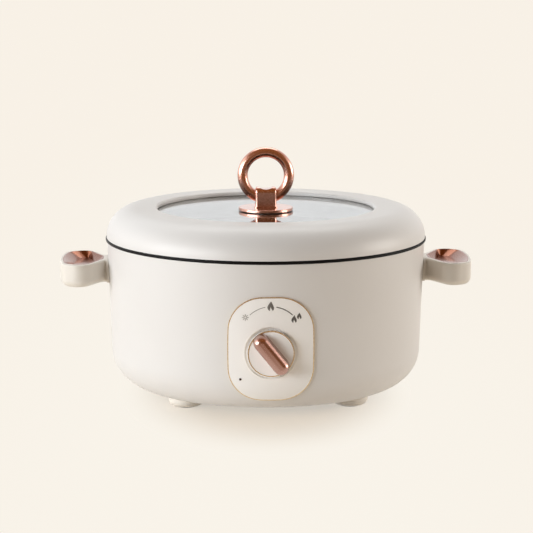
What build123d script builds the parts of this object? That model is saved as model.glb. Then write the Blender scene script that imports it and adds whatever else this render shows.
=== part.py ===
"""Electric hot pot with a lift-off glass lid, a folding ring handle and a front heat knob.

Millimetres, +Z up, front towards -Y, origin on the table under the middle of the pot.
"""

import os
from math import cos, radians, sin, sqrt, tan

from build123d import *

os.makedirs("parts", exist_ok=True)

# Round body and its shell
RIM_R = 150.0  # outer edge of the black pot rim, the widest round
RIM_T = 2.8  # pot rim, as seen between shell and lid
RIM_WIDTH = 12.0  # pot rim, from the mouth to the outer edge
RIM_OVERHANG = 1.4  # pot rim beyond the shell under it
RIM_ROUND = 0.9  # rounding of the rim's outer edges
ROUND_SHARE = 0.45  # most of a wall that its edge rounding may take
BODY_GAP = 8.0  # shell's underside above the table
UNDER_POT = 39.5  # room between the shell's underside and the pot
BODY_DRAFT = 2.0  # degrees that the side leans out going up
BODY_CORNER_R = 34.0  # lower corner of the body
SHELL_WALL = 2.6
SKIN_GAP = 0.1  # between the shell and what follows its curve

# Pot
POT_DEPTH = 96.7  # rim's top to the cooking floor
POT_TAPER = 30.0  # how far the slanted wall leans in from mouth to floor
POT_WALL = 2.5
POT_CORNER_R = 20.0
MOUTH_ROUND = 3.0  # inner edge of the mouth

# Heater under the pot
HEATER_SHARE = 0.722  # heater ring's radius over the floor's
HEATER_TUBE_R = 3.5
HEATER_BOSS_W = 15.0  # width of the ring that holds the tube
HEATER_BOSS_T = 7.0  # depth of that ring below the pot
HEATER_GAP_ANGLE = 44.0  # degrees left open at the front
HEATER_CLEAR = 0.05  # tube in its groove
SEAL_R = 2.6
SEAL_LEN = 4.0
TERMINAL_R = 1.2
TERMINAL_LEN = 9.0

# Thermal cut-off against the pot's floor
CUTOFF_CAP_R = 8.5
CUTOFF_CAP_T = 6.0
CUTOFF_BODY_R = 7.4
CUTOFF_BODY_T = 5.0
CUTOFF_TAB = (9.0, 6.3, 0.8)  # length, width and thickness of each blade
HOLDER_R = 9.5
HOLDER_BORE_R = 5.0

# Heat shield, tie posts and clips
SHIELD_MARGIN = 11.0  # shield's edge outside the heater ring
SHIELD_DEPTH = 18.0
SHIELD_T = 0.8
SHIELD_NOTCH = 34.0  # width of the front notch for the leads
POST_SHARE = 0.744  # ring of posts over the heater ring
POST_R = 4.0
POST_COUNT = 4
POST_CLEAR = 0.2
CLIP_R = 7.0
CLIP_T = 0.8
CLIP_GRIP = 0.03  # clip's bore over the post

# Bottom cover and its screws
COVER_MARGIN = 26.0  # cover's edge outside the ring of posts
COVER_T = 2.0
COVER_CLEAR = 0.2
LEDGE_W = 5.0  # shell ledge that the cover sits against
LEDGE_T = 2.4
VENT_SHARE = 0.586  # middle of the vents over the ring of posts
VENT_LEN_SHARE = 0.379  # vent's length over the ring of posts
VENT_W = 3.2
VENT_COUNT = 14
SCREW_R = 2.0
SCREW_HEAD_R = 3.8
SCREW_HEAD_T = 2.2
SCREW_CLEAR = 0.05  # screw in the hole that holds it
SCREW_PASS = 0.25  # screw in a hole that it passes through
SCREW_BITE = 10.0  # length of screw inside the piece that holds it
HOLE_TIP = 1.0  # blind hole beyond the screw's end

# Feet
FOOT_X_SHARE = 0.5  # foot's place over the pot rim's radius
FOOT_Y_SHARE = 0.467
FOOT_R = 16.5
FOOT_ROUND = 5.5
FOOT_LAND = 0.5  # flat left between the pad and the rounding
PAD_R = 9.5
PAD_T = 2.0
PAD_SINK = 1.2  # pad's depth inside the foot
PAD_CLEAR = 0.1
PEG_R = 4.0
PEG_HEAD_R = 4.8
PEG_HEAD_T = 2.2
PEG_CLEAR = 0.15

# Front panel
PANEL_W = 75.0
PANEL_H = 93.0
PANEL_Z = 67.8  # middle of the panel
PANEL_CORNER_R = 30.0
PANEL_SIDE_BULGE = 1.4
PANEL_END_BULGE = 2.6
PANEL_PROUD = 2.0
TRIM_W = 0.8
TRIM_PROUD = 1.8
TRIM_CLEAR = 0.05
KNOB_Z = 65.0
SEAT_R = 23.4  # round recess that the knob sits in
SEAT_DEPTH = 1.0  # recess at its shallow sides
CUP_RIM = 3.6  # cup's wall around the recess
CUP_FLOOR = 2.5
CUP_CLEAR = 0.15
BOSS_X = 24.0  # screw bosses behind the panel
BOSS_HIGH = 33.0  # above and below the knob's axis
BOSS_LOW = 27.0
BOSS_R = 3.6
BOSS_REACH = 1.6  # boss beyond the shell's inside
PANEL_SCREW_R = 1.5
PANEL_SCREW_HEAD_R = 3.6
PANEL_SCREW_HEAD_T = 1.8
PANEL_SCREW_LEN = 5.0

# Knob and heat regulator
KNOB_R = 20.5
KNOB_RING_W = 0.8
KNOB_RING_T = 3.0
KNOB_RING_PROUD = 0.2
KNOB_LIFT = 0.6  # knob's back above the recess floor
KNOB_ANGLE = 39.0  # degrees that the grip leans left at rest
SKIRT_T = 6.0
SKIRT_HOLLOW_R = 11.0
SKIRT_HOLLOW_T = 2.6
GRIP_LEN = 42.0
GRIP_W = 15.0
GRIP_T = 12.4
GRIP_DRAFT = 5.0
GRIP_ROUND = 5.4
GRIP_RELIEF = 0.15  # grip's ends clear of the gold ring
SHAFT_R = 3.0
SHAFT_FLAT = 0.6  # depth of the flat on the shaft
SHAFT_RUN = 0.05  # shaft turning in its bush
SHAFT_FIT = 0.02  # shaft in the knob
SHAFT_IN_GRIP = 6.5
REGULATOR_W = 30.0
REGULATOR_H = 28.0
REGULATOR_AIR = 2.9  # housing's back to the pot's wall
REGULATOR_BACK = 4.0  # housing left behind the shaft's inner end
REGULATOR_TAB = (6.3, 0.8, 7.0)  # width, thickness and length of each blade
REGULATOR_TAB_X = 8.0
BUSH_R = 4.9
BUSH_CLEAR = 0.1
NUT_R = 8.0
NUT_T = 2.0
BUSH_PAST_NUT = 0.3

# Indicator lamp
LAMP_X = -27.0
LAMP_Z = 41.0
LENS_R = 1.1
LENS_PROUD = 0.3
LENS_CLEAR = 0.05
COLLAR_R = 2.4
COLLAR_LEN = 8.0  # from the panel's front to the lamp
LAMP_LEN = 8.0

# Ear handles
HANDLE_DROP = 17.6  # handle's top below the shell's top edge
HANDLE_T = 21.6
HANDLE_REACH = 45.0  # outermost edge beyond the body
HANDLE_WIDE_SHARE = 0.456  # how far out the widest place is, over the reach
HANDLE_HALF = 47.5  # half length there before rounding
HANDLE_OUTER_HALF = 37.0  # half length of the outer edge before rounding
HANDLE_OUTER_BOW = 4.0
HANDLE_CORNER_SHARE = 0.53  # corner rounding over what is left outside the widest place
HANDLE_TOP_ROUND = 1.4
HANDLE_LOW_ROUND = 6.5
NECK_LEN = 3.0
NECK_HALF = 14.5
NECK_ROUND = 4.0
FLANGE_HALF = 17.5
FLANGE_T = 2.4
FLANGE_TALL = 22.4
FLANGE_ROUND = 6.0
DISH_RIM = 2.4  # handle left around the thumb dish
DISH_TIP = 4.5  # dish's inner end beyond the body
DISH_TIP_HALF = 8.0
DISH_FLOOR_TIP_HALF = 6.0
DISH_DEPTH = 7.0
DISH_SLOPE = 4.2  # how far its long walls lean in
DISH_OUTER_SLOPE = 9.0  # how far its outer wall leans in
DISH_TIP_SLOPE = 7.0  # how far its inner end leans in
DISH_T = 1.2
DISH_ROUND_SHARE = 0.42  # dish's corner rounding, likewise
DISH_FLOOR_ROUND_SHARE = 0.15  # and at its floor
DISH_TIP_ROUND = 7.0
DISH_CLEAR = 0.1
HANDLE_SCREW_Y = 8.5
HANDLE_SCREW_DROP = 14.0  # below the handle's top

# Power inlet at the back
INLET_Z = 42.0
INLET_W = 34.0
INLET_H = 26.0
INLET_PROUD = 17.0  # housing beyond the body
INLET_ROUND = 4.0
SOCKET_W = 24.5
SOCKET_H = 17.0
SOCKET_DEPTH = 18.0
SOCKET_CHAMFER = 4.0
SOCKET_BACK = 4.0
INLET_CLEAR = 0.2
EAR_W = 56.0
EAR_H = 24.0
EAR_T = 2.4
EAR_ROUND = 10.0
INLET_SCREW_X = 22.5
INLET_SCREW_R = 1.75
INLET_SCREW_HEAD_R = 3.2
INLET_SCREW_HEAD_T = 1.6
INLET_NUT_R = 3.4
INLET_NUT_T = 2.6
BLADE_W = 2.0
BLADE_H = 4.0
BLADE_X = 7.0
BLADE_DROP = 2.0  # line blades below the middle, earth blade above it
BLADE_SUNK = 3.0  # blade's tip inside the socket's mouth
BLADE_TAIL = 9.0  # behind the housing
BLADE_CLEAR = 0.02
SCREW_PAD_RIM = 0.6  # flat pad around each screw's head

# Lid
LID_STEP = 0.8  # lid's edge inside the pot rim
LID_GAP = 0.2  # lid above the pot rim
LID_EDGE = 0.6  # upright edge below the shoulder
LID_SHOULDER_R = 27.0
LID_WALL = 3.0
LID_RING_W = 48.3  # from the pot rim's edge to the window
LID_LIP_ROUND = 2.2
LID_BLOCK_W = 17.0  # solid ring around the window
GLASS_SINK = 4.2  # glass below the lid's crown
GLASS_T = 4.0
GLASS_BITE = 5.3  # glass held behind the window's edge
GASKET_TOP = 0.5
GASKET_SIDE = 2.2
GASKET_LOW = 3.5
GASKET_LIP = 1.2  # gasket's edge behind the window's edge
LINER_T = 2.5
LINER_SKIRT_GAP = 3.5  # skirt inside the pot's mouth
LINER_SKIRT_T = 2.4
LINER_SKIRT_DROP = 5.0  # below the pot rim's top
LINER_LIFT = 0.5  # liner's edge above the lid's edge
LINER_CLEAR = 0.2
LID_SCREW_COUNT = 8
LID_SCREW_BITE = 6.0

# Lid handle
STAND_R = 25.5
STAND_T = 2.9
STAND_ROUND = 0.6
STAND_GASKET_T = 0.4
STAND_GASKET_R = 21.0
STRAP_W = 19.8
STRAP_T = 14.0
STRAP_TOP_CURVE = 12.8
STRAP_EDGE = 2.4
STRAP_SHOULDER = 5.2
STRAP_CORNER_RISE = 2.1
STRAP_FOOT = 0.9
STRAP_FOOT_T = 1.0
RING_R = 21.65
RING_WIRE_R = 4.85
RING_LIFT = 29.9  # ring's middle above the stand
RING_SIDE_GAP = 0.2
PIN_R = 4.0
PIN_RUN = 0.06
PIN_ROOT = 0.8  # pin inside the ring's ends
LID_BOLT_R = 2.5
LID_BOLT_HEAD_R = 5.0
LID_BOLT_HEAD_T = 3.0
LID_BOLT_BITE = 5.0  # inside the strap
LID_WASHER_R = 12.0
LID_WASHER_T = 2.0
GLASS_HOLE_CLEAR = 1.0

# Leads inside the body
LEAD_R = 1.3
LEAD_BEND = 0.45  # share of the shorter run that a bend takes at a corner
LEAD_LEVEL = 26.0  # height of the runs round the body
LEAD_LIFT = 6.5  # runs above the heat shield's floor
LEAD_AIR = 19.0  # those runs inside the shell
LEAD_STUB = 10.0  # straight run at a terminal
LEAD_OUT = 23.0  # first bend outside the heat shield
EARTH_GAP = 2.6  # earth lead's end outside the heat shield

# Worked out from the sizes above
DRAFT = radians(BODY_DRAFT)
BODY_HEIGHT = UNDER_POT + POT_WALL + POT_DEPTH - RIM_T
SEAT_Z = BODY_GAP + BODY_HEIGHT
RIM_TOP_Z = SEAT_Z + RIM_T
BODY_TOP_R = RIM_R - RIM_OVERHANG
MOUTH_R = RIM_R - RIM_WIDTH
POT_FLOOR_R = MOUTH_R - POT_TAPER
HEATER_RING_R = HEATER_SHARE * POT_FLOOR_R
SHIELD_R = HEATER_RING_R + SHIELD_MARGIN
POST_RING_R = POST_SHARE * HEATER_RING_R
COVER_R = POST_RING_R + COVER_MARGIN
VENT_RING_R = VENT_SHARE * POST_RING_R
VENT_LEN = VENT_LEN_SHARE * POST_RING_R
FOOT_X = FOOT_X_SHARE * RIM_R
FOOT_Y = FOOT_Y_SHARE * RIM_R
LID_LIP_R = RIM_R - LID_RING_W
HANDLE_TOP_Z = SEAT_Z - HANDLE_DROP
HANDLE_WIDE = HANDLE_WIDE_SHARE * HANDLE_REACH
HANDLE_CORNER_R = HANDLE_CORNER_SHARE * (HANDLE_REACH - HANDLE_WIDE)
DISH_ROUND = DISH_ROUND_SHARE * (HANDLE_REACH - HANDLE_WIDE)
DISH_FLOOR_ROUND = DISH_FLOOR_ROUND_SHARE * (HANDLE_REACH - HANDLE_WIDE)
CORNER_Z = BODY_GAP + BODY_CORNER_R
CORNER_X = BODY_TOP_R - (BODY_CORNER_R + (SEAT_Z - CORNER_Z) * sin(DRAFT)) / cos(DRAFT)
POT_FLOOR_Z = RIM_TOP_Z - POT_DEPTH
POT_BASE_Z = POT_FLOOR_Z - POT_WALL
COVER_TOP_Z = BODY_GAP + COVER_T
FLOOR_IN_Z = BODY_GAP + SHELL_WALL
HEATER_Z = POT_BASE_Z - HEATER_BOSS_T
SHIELD_Z = POT_BASE_Z - SHIELD_DEPTH
FAR = 2 * RIM_R  # longer than any cut needs
NEAR = 1e-3  # closer than any two edges are


def body_r(z, inset=0.0):
    """Radius of the body at a height, with its faces moved in by the inset."""
    corner = BODY_CORNER_R - inset
    if z > CORNER_Z - corner * sin(DRAFT):
        return CORNER_X + (corner + (z - CORNER_Z) * sin(DRAFT)) / cos(DRAFT)
    return CORNER_X + sqrt(corner**2 - (CORNER_Z - z) ** 2)


def body_envelope(inset, top_z=SEAT_Z):
    """The round body, filled, with its side and underside moved in by the inset."""
    corner = BODY_CORNER_R - inset
    low_z = BODY_GAP + inset
    with BuildPart() as envelope:
        with BuildSketch(Plane.XZ):
            with BuildLine():
                Line((0, low_z), (CORNER_X, low_z))
                CenterArc((CORNER_X, CORNER_Z), corner, -90, 90 - BODY_DRAFT)
                side_r = body_r(top_z, inset)
                start = (CORNER_X + corner * cos(DRAFT), CORNER_Z - corner * sin(DRAFT))
                Polyline(start, (side_r, top_z), (0, top_z), (0, low_z))
            make_face()
        revolve(axis=Axis.Z)
    return envelope.part


def panel_outline(grow):
    """Front panel's outline in x and z, a square with bowed sides and round corners."""
    side_x = PANEL_W / 2 + grow
    end_z = PANEL_H / 2 + grow
    x = side_x - PANEL_SIDE_BULGE
    low, high = PANEL_Z - end_z + PANEL_END_BULGE, PANEL_Z + end_z - PANEL_END_BULGE
    with BuildSketch(Plane.XZ, mode=Mode.PRIVATE) as outline:
        with BuildLine():
            ThreePointArc((-x, low), (0, PANEL_Z - end_z), (x, low))
            ThreePointArc((x, low), (side_x, PANEL_Z), (x, high))
            ThreePointArc((x, high), (0, PANEL_Z + end_z), (-x, high))
            ThreePointArc((-x, high), (-side_x, PANEL_Z), (-x, low))
        make_face()
        fillet(outline.vertices(), PANEL_CORNER_R + grow)
    return outline.sketch


def save(piece, name):
    """Label a finished piece and write it as a node."""
    piece.part.label = name
    export_step(piece.part, f"parts/{name}.step")


POST_PLACES = PolarLocations(POST_RING_R, POST_COUNT, start_angle=180 / POST_COUNT)
FOOT_PLACES = {
    "front_left": (-FOOT_X, -FOOT_Y),
    "front_right": (FOOT_X, -FOOT_Y),
    "rear_left": (-FOOT_X, FOOT_Y),
    "rear_right": (FOOT_X, FOOT_Y),
}
BOSS_PLACES = [
    (-BOSS_X, KNOB_Z + BOSS_HIGH),
    (BOSS_X, KNOB_Z + BOSS_HIGH),
    (BOSS_X, KNOB_Z - BOSS_LOW),
]
HANDLE_SCREW_Z = HANDLE_TOP_Z - HANDLE_SCREW_DROP
HANDLE_SCREW_PLACES = [(-HANDLE_SCREW_Y, HANDLE_SCREW_Z), (HANDLE_SCREW_Y, HANDLE_SCREW_Z)]
INLET_SCREW_PLACES = [(-INLET_SCREW_X, INLET_Z), (INLET_SCREW_X, INLET_Z)]
CUP_R = SEAT_R + CUP_RIM

# Outer shell: one moulded wall, open at the top, with a ledge round its bottom opening
with BuildPart() as outer_shell:
    add(body_envelope(0))
    add(body_envelope(SHELL_WALL, SEAT_Z + SHELL_WALL), mode=Mode.SUBTRACT)
    with BuildSketch(Plane.XY.offset(BODY_GAP)):
        Circle(COVER_R + COVER_CLEAR + SHELL_WALL)
    extrude(amount=COVER_T + LEDGE_T)
    with BuildSketch(Plane.XY.offset(BODY_GAP)):
        Circle(COVER_R + COVER_CLEAR)
    extrude(amount=COVER_T, mode=Mode.SUBTRACT)
    with BuildSketch(Plane.XY):
        Circle(COVER_R - LEDGE_W)
    extrude(amount=SEAT_Z, mode=Mode.SUBTRACT)
    with BuildSketch(Plane.XZ):
        with Locations((0, KNOB_Z)):
            Circle(CUP_R + CUP_CLEAR)
        with Locations((LAMP_X, LAMP_Z)):
            Circle(COLLAR_R + CUP_CLEAR)
        with Locations(*BOSS_PLACES):
            Circle(BOSS_R + CUP_CLEAR)
    extrude(amount=FAR, mode=Mode.SUBTRACT)
    with BuildSketch(Plane.XZ):
        with Locations((0, INLET_Z)):
            RectangleRounded(INLET_W + 2 * INLET_CLEAR, INLET_H + 2 * INLET_CLEAR, INLET_ROUND)
        with Locations(*INLET_SCREW_PLACES):
            Circle(INLET_SCREW_R + SCREW_PASS)
    extrude(amount=-FAR, mode=Mode.SUBTRACT)
    with BuildSketch(Plane.YZ):
        with Locations(*HANDLE_SCREW_PLACES):
            Circle(SCREW_R + SCREW_PASS)
    extrude(amount=FAR, both=True, mode=Mode.SUBTRACT)
    with BuildSketch(Plane.XY):
        with Locations(*FOOT_PLACES.values()):
            Circle(PEG_R + PEG_CLEAR)
    extrude(amount=CORNER_Z, mode=Mode.SUBTRACT)
save(outer_shell, "outer_shell")

# Pot: slanted wall, wide flat rim that hangs on the shell, and the heater's ring underneath
wall_lean = (MOUTH_R - POT_FLOOR_R) / POT_DEPTH
wall_step = POT_WALL * sqrt(1 + wall_lean**2)


def pot_outside_r(z):
    """Outer radius of the pot's slanted wall at a height."""
    return POT_FLOOR_R + (z - POT_FLOOR_Z) * wall_lean + wall_step


rim_round = min(RIM_ROUND, ROUND_SHARE * RIM_T)
heater_start = -90 + HEATER_GAP_ANGLE / 2
heater_sweep = 360 - HEATER_GAP_ANGLE
heater_plane = Plane.XZ.rotated((0, 0, heater_start))
with BuildPart() as inner_pot:
    with BuildSketch(Plane.XZ):
        with BuildLine():
            FilletPolyline(
                (0, POT_FLOOR_Z),
                (POT_FLOOR_R, POT_FLOOR_Z),
                (MOUTH_R, RIM_TOP_Z),
                (RIM_R, RIM_TOP_Z),
                (RIM_R, SEAT_Z),
                (pot_outside_r(SEAT_Z), SEAT_Z),
                (pot_outside_r(POT_BASE_Z), POT_BASE_Z),
                (0, POT_BASE_Z),
                radius=[
                    0,
                    POT_CORNER_R,
                    MOUTH_ROUND,
                    rim_round,
                    rim_round,
                    rim_round,
                    POT_CORNER_R + POT_WALL,
                    0,
                ],
                close=True,
            )
        make_face()
    revolve(axis=Axis.Z)
    with BuildSketch(heater_plane):
        with Locations((HEATER_RING_R, POT_BASE_Z - HEATER_BOSS_T / 2)):
            Rectangle(HEATER_BOSS_W, HEATER_BOSS_T)
        with Locations((HEATER_RING_R, HEATER_Z)):
            Circle(HEATER_TUBE_R + HEATER_CLEAR, mode=Mode.SUBTRACT)
    revolve(axis=Axis.Z, revolution_arc=heater_sweep)
save(inner_pot, "inner_pot")


def heater_end(angle, turn):
    """Plane across the heater tube at an end, facing out of the tube."""
    a = radians(angle)
    place = (HEATER_RING_R * cos(a), HEATER_RING_R * sin(a), HEATER_Z)
    return Plane(origin=place, x_dir=(0, 0, 1), z_dir=(-turn * sin(a), turn * cos(a), 0))


HEATER_ENDS = [
    heater_end(heater_start, -1),
    heater_end(heater_start + heater_sweep, 1),
]

# Heater tube: an open ring half sunk in the groove under the pot
with BuildPart() as heater_tube:
    with BuildSketch(heater_plane):
        with Locations((HEATER_RING_R, HEATER_Z)):
            Circle(HEATER_TUBE_R)
    revolve(axis=Axis.Z, revolution_arc=heater_sweep)
save(heater_tube, "heater_tube")

# Ceramic seals in the tube's ends, and the terminal pins that come out of them
with BuildPart() as heater_seals:
    for end in HEATER_ENDS:
        with BuildSketch(end):
            Circle(SEAL_R)
            Circle(TERMINAL_R + SCREW_CLEAR, mode=Mode.SUBTRACT)
        extrude(amount=SEAL_LEN)
save(heater_seals, "heater_seals")

with BuildPart() as heater_pins:
    for end in HEATER_ENDS:
        with BuildSketch(end):
            Circle(TERMINAL_R)
        extrude(amount=SEAL_LEN + TERMINAL_LEN)
save(heater_pins, "heater_pins")

# Thermal cut-off: a metal cap against the pot's floor, a ceramic body and two blades
cutoff_low_z = POT_BASE_Z - CUTOFF_CAP_T - CUTOFF_BODY_T
tab_len, tab_w, tab_t = CUTOFF_TAB
with BuildPart() as thermal_cutoff:
    with BuildSketch(Plane.XY.offset(cutoff_low_z)):
        Circle(CUTOFF_BODY_R)
    extrude(amount=CUTOFF_BODY_T)
    with BuildSketch(Plane.XY.offset(POT_BASE_Z - CUTOFF_CAP_T)):
        Circle(CUTOFF_CAP_R)
    extrude(amount=CUTOFF_CAP_T)
    with BuildSketch(Plane.XY.offset(cutoff_low_z + CUTOFF_BODY_T / 2)):
        Rectangle(2 * (CUTOFF_BODY_R + tab_len), tab_w)
    extrude(amount=tab_t)
save(thermal_cutoff, "thermal_cutoff")

# Holder that stands on the heat shield and presses the cut-off up
with BuildPart() as cutoff_holder:
    with BuildSketch(Plane.XY.offset(SHIELD_Z + SHIELD_T)):
        Circle(HOLDER_R)
        Circle(HOLDER_BORE_R, mode=Mode.SUBTRACT)
    extrude(amount=cutoff_low_z - SHIELD_Z - SHIELD_T)
save(cutoff_holder, "cutoff_holder")

# Heat shield: a shallow pan whose edge stands against the pot's floor
with BuildPart() as heat_shield:
    with BuildSketch(Plane.XY.offset(SHIELD_Z)):
        Circle(SHIELD_R)
    extrude(amount=SHIELD_DEPTH)
    with BuildSketch(Plane.XY.offset(SHIELD_Z + SHIELD_T)):
        Circle(SHIELD_R - SHIELD_T)
    extrude(amount=SHIELD_DEPTH, mode=Mode.SUBTRACT)
    with BuildSketch(Plane.XY.offset(SHIELD_Z)):
        with POST_PLACES:
            Circle(POST_R + POST_CLEAR)
    extrude(amount=SHIELD_DEPTH, mode=Mode.SUBTRACT)
    with BuildSketch(Plane.XZ):
        with Locations((0, SHIELD_Z + SHIELD_T + SHIELD_DEPTH / 2)):
            Rectangle(SHIELD_NOTCH, SHIELD_DEPTH)
    extrude(amount=FAR, mode=Mode.SUBTRACT)
save(heat_shield, "heat_shield")

# Tie posts between the pot's floor and the bottom cover, tapped for the cover's screws
with BuildPart() as tie_posts:
    with BuildSketch(Plane.XY.offset(COVER_TOP_Z)):
        with POST_PLACES:
            Circle(POST_R)
    extrude(amount=POT_BASE_Z - COVER_TOP_Z)
    with BuildSketch(Plane.XY.offset(COVER_TOP_Z)):
        with POST_PLACES:
            Circle(SCREW_R + SCREW_CLEAR)
    extrude(amount=SCREW_BITE + HOLE_TIP, mode=Mode.SUBTRACT)
save(tie_posts, "tie_posts")

# Push-on clips that carry the heat shield on the posts
with BuildPart() as shield_clips:
    with BuildSketch(Plane.XY.offset(SHIELD_Z - CLIP_T)):
        with POST_PLACES:
            Circle(CLIP_R)
            Circle(POST_R + CLIP_GRIP, mode=Mode.SUBTRACT)
    extrude(amount=CLIP_T)
save(shield_clips, "shield_clips")

# Bottom cover: a flush disc with a ring of vents
with BuildPart() as bottom_cover:
    with BuildSketch(Plane.XY.offset(BODY_GAP)):
        Circle(COVER_R)
        with POST_PLACES:
            Circle(SCREW_R + SCREW_PASS, mode=Mode.SUBTRACT)
        with PolarLocations(VENT_RING_R, VENT_COUNT):
            SlotOverall(VENT_LEN, VENT_W, mode=Mode.SUBTRACT)
    extrude(amount=COVER_T)
save(bottom_cover, "bottom_cover")

with BuildPart() as base_screws:
    with BuildSketch(Plane.XY.offset(BODY_GAP - SCREW_HEAD_T)):
        with POST_PLACES:
            Circle(SCREW_HEAD_R)
    extrude(amount=SCREW_HEAD_T)
    with BuildSketch(Plane.XY.offset(BODY_GAP)):
        with POST_PLACES:
            Circle(SCREW_R)
    extrude(amount=COVER_T + SCREW_BITE)
save(base_screws, "base_screws")

# Feet: rounded caps shaped to the shell's underside, pegged through it, each with a rubber pad
foot_low_z = PAD_T - PAD_SINK
foot_round = min(FOOT_ROUND, FOOT_R - PAD_R - PAD_CLEAR - FOOT_LAND)
for corner, place in FOOT_PLACES.items():
    with BuildPart() as foot:
        with BuildSketch(Plane.XY.offset(foot_low_z)):
            with Locations(place):
                Circle(FOOT_R)
        extrude(amount=CORNER_Z - foot_low_z)
        fillet(foot.edges().group_by(Axis.Z)[0], foot_round)
        add(body_envelope(-SKIN_GAP), mode=Mode.SUBTRACT)
        with BuildSketch(Plane.XY.offset(BODY_GAP - SHELL_WALL)):
            with Locations(place):
                Circle(PEG_R)
        extrude(amount=2 * SHELL_WALL + PEG_CLEAR)
        with BuildSketch(Plane.XY.offset(FLOOR_IN_Z + PEG_CLEAR)):
            with Locations(place):
                Circle(PEG_HEAD_R)
        extrude(amount=PEG_HEAD_T)
        with BuildSketch(Plane.XY.offset(foot_low_z)):
            with Locations(place):
                Circle(PAD_R + PAD_CLEAR)
        extrude(amount=PAD_SINK, mode=Mode.SUBTRACT)
    save(foot, f"foot_{corner}")
    with BuildPart() as foot_pad:
        with BuildSketch(Plane.XY):
            with Locations(place):
                Circle(PAD_R)
        extrude(amount=PAD_T)
    save(foot_pad, f"foot_pad_{corner}")

# Front panel: a plate on the shell's curve with a flat round cup for the knob behind it
FRONT_R = body_r(KNOB_Z) + PANEL_PROUD
SEAT_Y = sqrt(FRONT_R**2 - SEAT_R**2) - SEAT_DEPTH
CUP_BACK_Y = SEAT_Y - CUP_FLOOR


def boss_end_y(x, z):
    """How far forward a boss behind the panel ends, just inside the shell."""
    edge = abs(x) + PANEL_SCREW_HEAD_R
    return sqrt(body_r(z, SHELL_WALL) ** 2 - edge**2) - BOSS_REACH


with BuildPart() as control_panel:
    add(body_envelope(-PANEL_PROUD))
    add(body_envelope(-SKIN_GAP), mode=Mode.SUBTRACT)
    with BuildSketch(Plane.XZ):
        add(panel_outline(0))
    extrude(amount=FAR, mode=Mode.INTERSECT)
    with BuildSketch(Plane.XZ.offset(CUP_BACK_Y)):
        with Locations((0, KNOB_Z)):
            Circle(CUP_R)
    extrude(amount=FRONT_R - CUP_BACK_Y)
    for x, z in BOSS_PLACES:
        with BuildSketch(Plane.XZ.offset(boss_end_y(x, z))):
            with Locations((x, z)):
                Circle(BOSS_R)
        extrude(amount=FRONT_R - boss_end_y(x, z))
    add(body_envelope(-PANEL_PROUD), mode=Mode.INTERSECT)
    with BuildSketch(Plane.XZ.offset(SEAT_Y)):
        with Locations((0, KNOB_Z)):
            Circle(SEAT_R)
    extrude(amount=FAR, mode=Mode.SUBTRACT)
    with BuildSketch(Plane.XZ):
        with Locations((0, KNOB_Z)):
            Circle(BUSH_R + BUSH_CLEAR)
        with Locations((LAMP_X, LAMP_Z)):
            Circle(LENS_R + LENS_CLEAR)
    extrude(amount=FAR, mode=Mode.SUBTRACT)
    for x, z in BOSS_PLACES:
        with BuildSketch(Plane.XZ.offset(boss_end_y(x, z))):
            with Locations((x, z)):
                Circle(PANEL_SCREW_R + SCREW_CLEAR)
        extrude(amount=PANEL_SCREW_LEN + HOLE_TIP / 2, mode=Mode.SUBTRACT)
save(control_panel, "control_panel")

with BuildPart() as panel_screws:
    for x, z in BOSS_PLACES:
        with BuildSketch(Plane.XZ.offset(boss_end_y(x, z))):
            with Locations((x, z)):
                Circle(PANEL_SCREW_R)
        extrude(amount=PANEL_SCREW_LEN)
        with BuildSketch(Plane.XZ.offset(boss_end_y(x, z))):
            with Locations((x, z)):
                Circle(PANEL_SCREW_HEAD_R)
        extrude(amount=-PANEL_SCREW_HEAD_T)
save(panel_screws, "panel_screws")

# Gold line round the panel
with BuildPart() as panel_trim:
    add(body_envelope(-TRIM_PROUD))
    add(body_envelope(-SKIN_GAP), mode=Mode.SUBTRACT)
    with BuildSketch(Plane.XZ):
        add(panel_outline(TRIM_W))
    extrude(amount=FAR, mode=Mode.INTERSECT)
    with BuildSketch(Plane.XZ):
        add(panel_outline(TRIM_CLEAR))
    extrude(amount=FAR, mode=Mode.SUBTRACT)
save(panel_trim, "panel_trim")

# Indicator lens with its collar behind the panel, and the lamp behind it
lens_front_y = sqrt((body_r(LAMP_Z) + PANEL_PROUD) ** 2 - LAMP_X**2)
lens_back_y = lens_front_y - COLLAR_LEN
with BuildPart() as indicator_lens:
    with BuildSketch(Plane.XZ.offset(lens_back_y)):
        with Locations((LAMP_X, LAMP_Z)):
            Circle(COLLAR_R)
    extrude(amount=FAR)
    add(body_envelope(0), mode=Mode.INTERSECT)
    with BuildSketch(Plane.XZ.offset(lens_back_y)):
        with Locations((LAMP_X, LAMP_Z)):
            Circle(LENS_R)
    extrude(amount=FAR)
    add(body_envelope(-PANEL_PROUD - LENS_PROUD), mode=Mode.INTERSECT)
save(indicator_lens, "indicator_lens")

with BuildPart() as indicator_lamp:
    with BuildSketch(Plane.XZ.offset(lens_back_y)):
        with Locations((LAMP_X, LAMP_Z)):
            Circle(COLLAR_R)
    extrude(amount=-LAMP_LEN)
save(indicator_lamp, "indicator_lamp")

# Heat regulator behind the cup, clamped by a nut on its bush
knob_back_y = SEAT_Y + KNOB_LIFT
skirt_front_y = knob_back_y + SKIRT_T
REGULATOR_D = CUP_BACK_Y - pot_outside_r(KNOB_Z + REGULATOR_H / 2) - REGULATOR_AIR
shaft_back_y = CUP_BACK_Y - REGULATOR_D + REGULATOR_BACK
shaft_front_y = skirt_front_y + SHAFT_IN_GRIP
bush_front_y = SEAT_Y + NUT_T + BUSH_PAST_NUT
reg_tab_w, reg_tab_t, reg_tab_len = REGULATOR_TAB
regulator_low_z = KNOB_Z - REGULATOR_H / 2


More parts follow.
